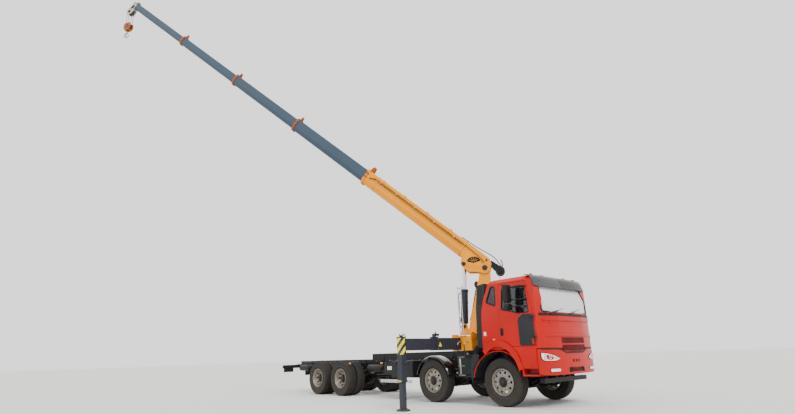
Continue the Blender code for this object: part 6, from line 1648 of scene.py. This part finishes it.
def boxes():
    tank = softened([(0.50, 0.62), (0.58, 0.52), (1.08, 0.52),
                     (1.16, 0.60), (1.16, 1.02), (1.08, 1.10), (0.58, 1.10), (0.50, 1.02)], 0.05)
    shapes = [plate(tank, -4.60, -3.20, "X", 0.014)]
    piece("fuel_tank_shell", shapes, ALUMINIUM, "chassis", None, ("fuel_tank",))
    grown = inward(tank, -0.006)
    shapes = []
    for x in (-4.40, -3.90, -3.40):
        band = plate(grown, x - 0.03, x + 0.03, "X", 0.003)
        shapes.append(band)
        shapes.append(block((x - 0.04, 0.4305, 0.83), (x + 0.04, 0.52, 1.05), 0.006))
    shapes.append(lathe([(1e-4, 1.10), (0.055, 1.10), (0.055, 1.125), (0.048, 1.14), (1e-4, 1.142)],
                        "Z", (-3.65, 0.84, 0), 28))
    piece("fuel_tank_straps", shapes, CHASSIS_BLACK, "chassis")

    eased("battery_box", TRIM_BLACK, "chassis", 0.010)
    shapes = [block((-3.965, -1.168, 1.02), (-3.035, -0.432, 1.055), 0.012)]
    for x in (-3.75, -3.25):
        shapes.append(block((x - 0.02, -1.176, 0.94), (x + 0.02, -1.158, 1.035), 0.004))
    for z in np.linspace(0.66, 0.92, 7):
        shapes.append(block((-3.90, -1.166, z), (-3.10, -1.158, z + 0.012), 0.003))
    piece("battery_box_lid", shapes, TRIM_GREY, "chassis")
    shapes = [block((-3.60, -1.1635, 0.955), (-3.30, -1.161, 1.0), 0.001),
              block((-4.35, -0.983, 0.80), (-4.05, -0.9805, 0.90), 0.001)]
    piece("box_labels", shapes, LABEL, "chassis")
    cylinders = []
    for x, y, z in ((-5.15, -0.66, 0.84), (-5.15, 0.70, 0.84), (-9.4, -0.62, 0.86), (-9.4, 0.62, 0.86)):
        for dy in (-0.12, 0.12):
            cylinders.append(lathe([(1e-4, -0.36), (0.05, -0.352), (0.09, -0.33),
                                    (0.108, -0.295), (0.110, -0.27), (0.110, 0.27), (0.108, 0.295),
                                    (0.09, 0.33), (0.05, 0.352), (1e-4, 0.36)], "X", (x, y + dy, z), 32))
    piece("air_tanks", cylinders, CHASSIS_BLACK, "chassis")
    straps = []
    for x, y, z in ((-5.15, -0.66, 0.84), (-5.15, 0.70, 0.84), (-9.4, -0.62, 0.86), (-9.4, 0.62, 0.86)):
        side = math.copysign(1, y)
        for dx in (-0.2, 0.2):
            for dy in (-0.12, 0.12):
                straps.append(lathe([(0.109, dx - 0.018), (0.114, dx - 0.016),
                                     (0.114, dx + 0.016), (0.109, dx + 0.018)], "X", (x, y + dy, z), 32))
            straps.append(block((x + dx - 0.03, min(side * 0.4305, y), z + 0.105),
                                (x + dx + 0.03, max(side * 0.4305, y), z + 0.12), 0.003))
    piece("air_tank_straps", straps, CHASSIS_BLACK, "chassis")

    eased("hydraulic_tank", TRIM_GREY, "chassis", 0.008)
    shapes = [lathe([(1e-4, 1.18), (0.060, 1.18), (0.062, 1.20), (0.05, 1.225), (1e-4, 1.23)],
                    "Z", (-1.42, -0.62, 0), 28), block((-1.50, -0.946, 0.70), (-1.44, -0.938, 1.08), 0.003)]
    shapes += [bolts([(x, -0.940, z) for x in (-1.53, -0.86) for z in (0.66, 0.90, 1.14)],
                     "Y", 0.008, 0.007, -1)]
    piece("hydraulic_tank_fittings", shapes, ZINC, "chassis")
    rungs = []
    for z in (0.69, 0.91, 1.12):
        rungs.append(block((-1.275, -1.238, z - 0.006), (-1.065, -1.196, z + 0.006), 0.003))
    rungs.append(pipe([(-1.28, -1.22, 1.38),
                       (-1.28, -1.20, 1.46), (-1.28, -1.12, 1.50), (-1.28, -1.04, 1.47)], 0.013, 16))
    rungs.append(pipe([(-1.06, -1.22, 1.38),
                       (-1.06, -1.20, 1.46), (-1.06, -1.12, 1.50), (-1.06, -1.04, 1.47)], 0.013, 16))
    piece("access_steps", rungs, ZINC, "chassis")
    ladder = [pipe([(x, -1.055, 1.645), (x, -1.055, 2.82), (x, -1.02, 2.88), (x, -0.95, 2.89)], 0.011, 30, 8)
              for x in (-1.30, -1.18)]
    for z in np.linspace(1.74, 2.76, 9):
        ladder.append(pipe([(-1.30, -1.055, z), (-1.18, -1.055, z)], 0.008, 0, 8))
    ladder += [block((x - 0.03, -1.085, 1.638), (x + 0.03, -0.99, 1.652), 0.003) for x in (-1.30, -1.18)]
    piece("service_ladder", ladder, ALUMINIUM, "chassis")

    eased("intake_stack", TRIM_GREY, "chassis", 0.010)
    vents = []
    for z in np.linspace(2.40, 2.80, 9):
        x = float(np.interp(z, (1.36, 2.30, 2.86), (-0.70, -0.66, -0.57)))
        vents.append(block((x - 0.008, -1.10, z - 0.010), (x + 0.006, -0.84, z + 0.010), 0.004))
        vents.append(block((-0.62, -1.146, z - 0.008), (-0.42, -1.134, z + 0.008), 0.003))
    vents.append(lathe([(0.086, 0), (0.096, 0.004), (0.096, 0.020), (0.086, 0.024)],
                       "Z", (-0.89, -0.90, 1.20), 36))
    for s in np.linspace(0.2, 0.8, 6):
        vents.append(lathe([(0.084, -0.010), (0.093, -0.004), (0.093, 0.004), (0.084, 0.010)],
                           "X", (-0.60 - 0.30 * s, -0.95, 1.42 - 0.16 * s), 32))
    piece("intake_louvres", vents, TRIM_BLACK, "chassis")
    lamp = [lathe([(1e-4, 0.0), (0.03, 0.0), (0.035, 0.02), (0.02, 0.035), (1e-4, 0.036)],
                  "Y", (-0.92, -1.02, 1.10), 20)]
    lamp[0][0][:, 1] = -2.04 - lamp[0][0][:, 1]
    piece("work_lamp", lamp, CLEAR_LENS, "chassis")
    exhaust = [pipe([(-0.2, 0.48, 0.72), (-0.7, 0.49, 0.68), (-1.0, 0.56, 0.68), (-1.2, 0.62, 0.70)],
                    0.040, 24, 18),
               lathe([(1e-4, -1.60), (0.12, -1.60), (0.145, -1.58), (0.15, -1.55),
                      (0.15, -1.20), (0.145, -1.17), (0.12, -1.15), (1e-4, -1.15)], "X", (0, 0.62, 0.72), 36),
               pipe([(-1.58, 0.60, 0.66), (-1.65, 0.58, 0.60), (-1.66, 0.56, 0.50)], 0.036, 14, 16)]
    piece("silencer", exhaust, IRON, "chassis")


def side_bars_and_rear():
    bars, posts = [], []
    for side in (-1, 1):
        spans = ((-4.45, -3.10),) if side < 0 else ((-5.55, -4.70),)
        for x0, x1 in spans:
            for z in (0.50, ):
                low, high = span(side, 1.150, 1.178)
                bars.append(block((x0, low, z - 0.045), (x1, high, z + 0.045), 0.010))
        x = -5.0 if side > 0 else -3.8
        for dx in (-0.4, 0.4):
            low, high = span(side, 0.4305, 1.155)
            posts.append(block((x + dx - 0.025, low, 0.835), (x + dx + 0.025, high, 0.875), 0.006) if side > 0
                         else block((x + dx - 0.025, -1.155, 0.50), (x + dx + 0.025, -1.13, 0.62), 0.006))
            if side > 0:
                low, high = span(side, 1.13, 1.155)
                posts.append(block((x + dx - 0.025, low, 0.46), (x + dx + 0.025, high, 0.875), 0.006))
    piece("side_guard_bars", bars, ALUMINIUM, "chassis")
    piece("side_guard_posts", posts, CHASSIS_BLACK, "chassis")
    housings, reds, ambers = [], [], []
    for side in (-1, 1):
        y0, y1 = span(side, 0.86, 1.14)
        housings.append(block((-8.80, y0, 0.62), (-8.74, y1, 0.78), 0.012))
        y0, y1 = span(side, 0.425, 1.0)
        housings.append(block((-8.765, y0, 0.80), (-8.735, y1, 0.85), 0.004))
        y0, y1 = span(side, 0.96, 1.0)
        housings.append(block((-8.765, y0, 0.77), (-8.735, y1, 0.85), 0.004))
        y0, y1 = span(side, 0.875, 1.02)
        reds.append(block((-8.812, y0, 0.64), (-8.797, y1, 0.76), 0.006))
        y0, y1 = span(side, 1.03, 1.125)
        ambers.append(block((-8.812, y0, 0.64), (-8.797, y1, 0.76), 0.006))
    piece("tail_lamp_housings", housings, TRIM_BLACK, "chassis")
    piece("tail_lamps_red", reds, RED_LENS, "chassis")
    piece("tail_lamps_amber", ambers, AMBER, "chassis")
    plate_rear = [block((-10.336, -0.26, 0.88), (-10.3205, 0.26, 0.94), 0.002)]
    piece("rear_number_plate", plate_rear, LABEL, "chassis")


studio()
wheels()
eased("cab_shell", CAB_RED, "chassis", 0.008, CABIN_GREY, in_cabin)
eased("front_bumper", CAB_RED, "chassis", 0.008)
# The windscreen takes the pale glass, whose near-white is painted reflection; the door glass is clear and
# dark.
for glass_node in ("windscreen", "door_glass_left", "door_glass_right"):
    coat_node(glass_node, SCREEN_PAINTED_REFLECTION if glass_node == "windscreen" else GLASS)
cab_sides()
cab_face()
cab_top_and_rear()
cab_interior()
crane_base()
outriggers()
column()
lift_cylinder()
boom_base()
telescope()
boom_head()
hook()
winch()
chassis_frame()
springs_and_brakes()
fenders()
boxes()
side_bars_and_rear()
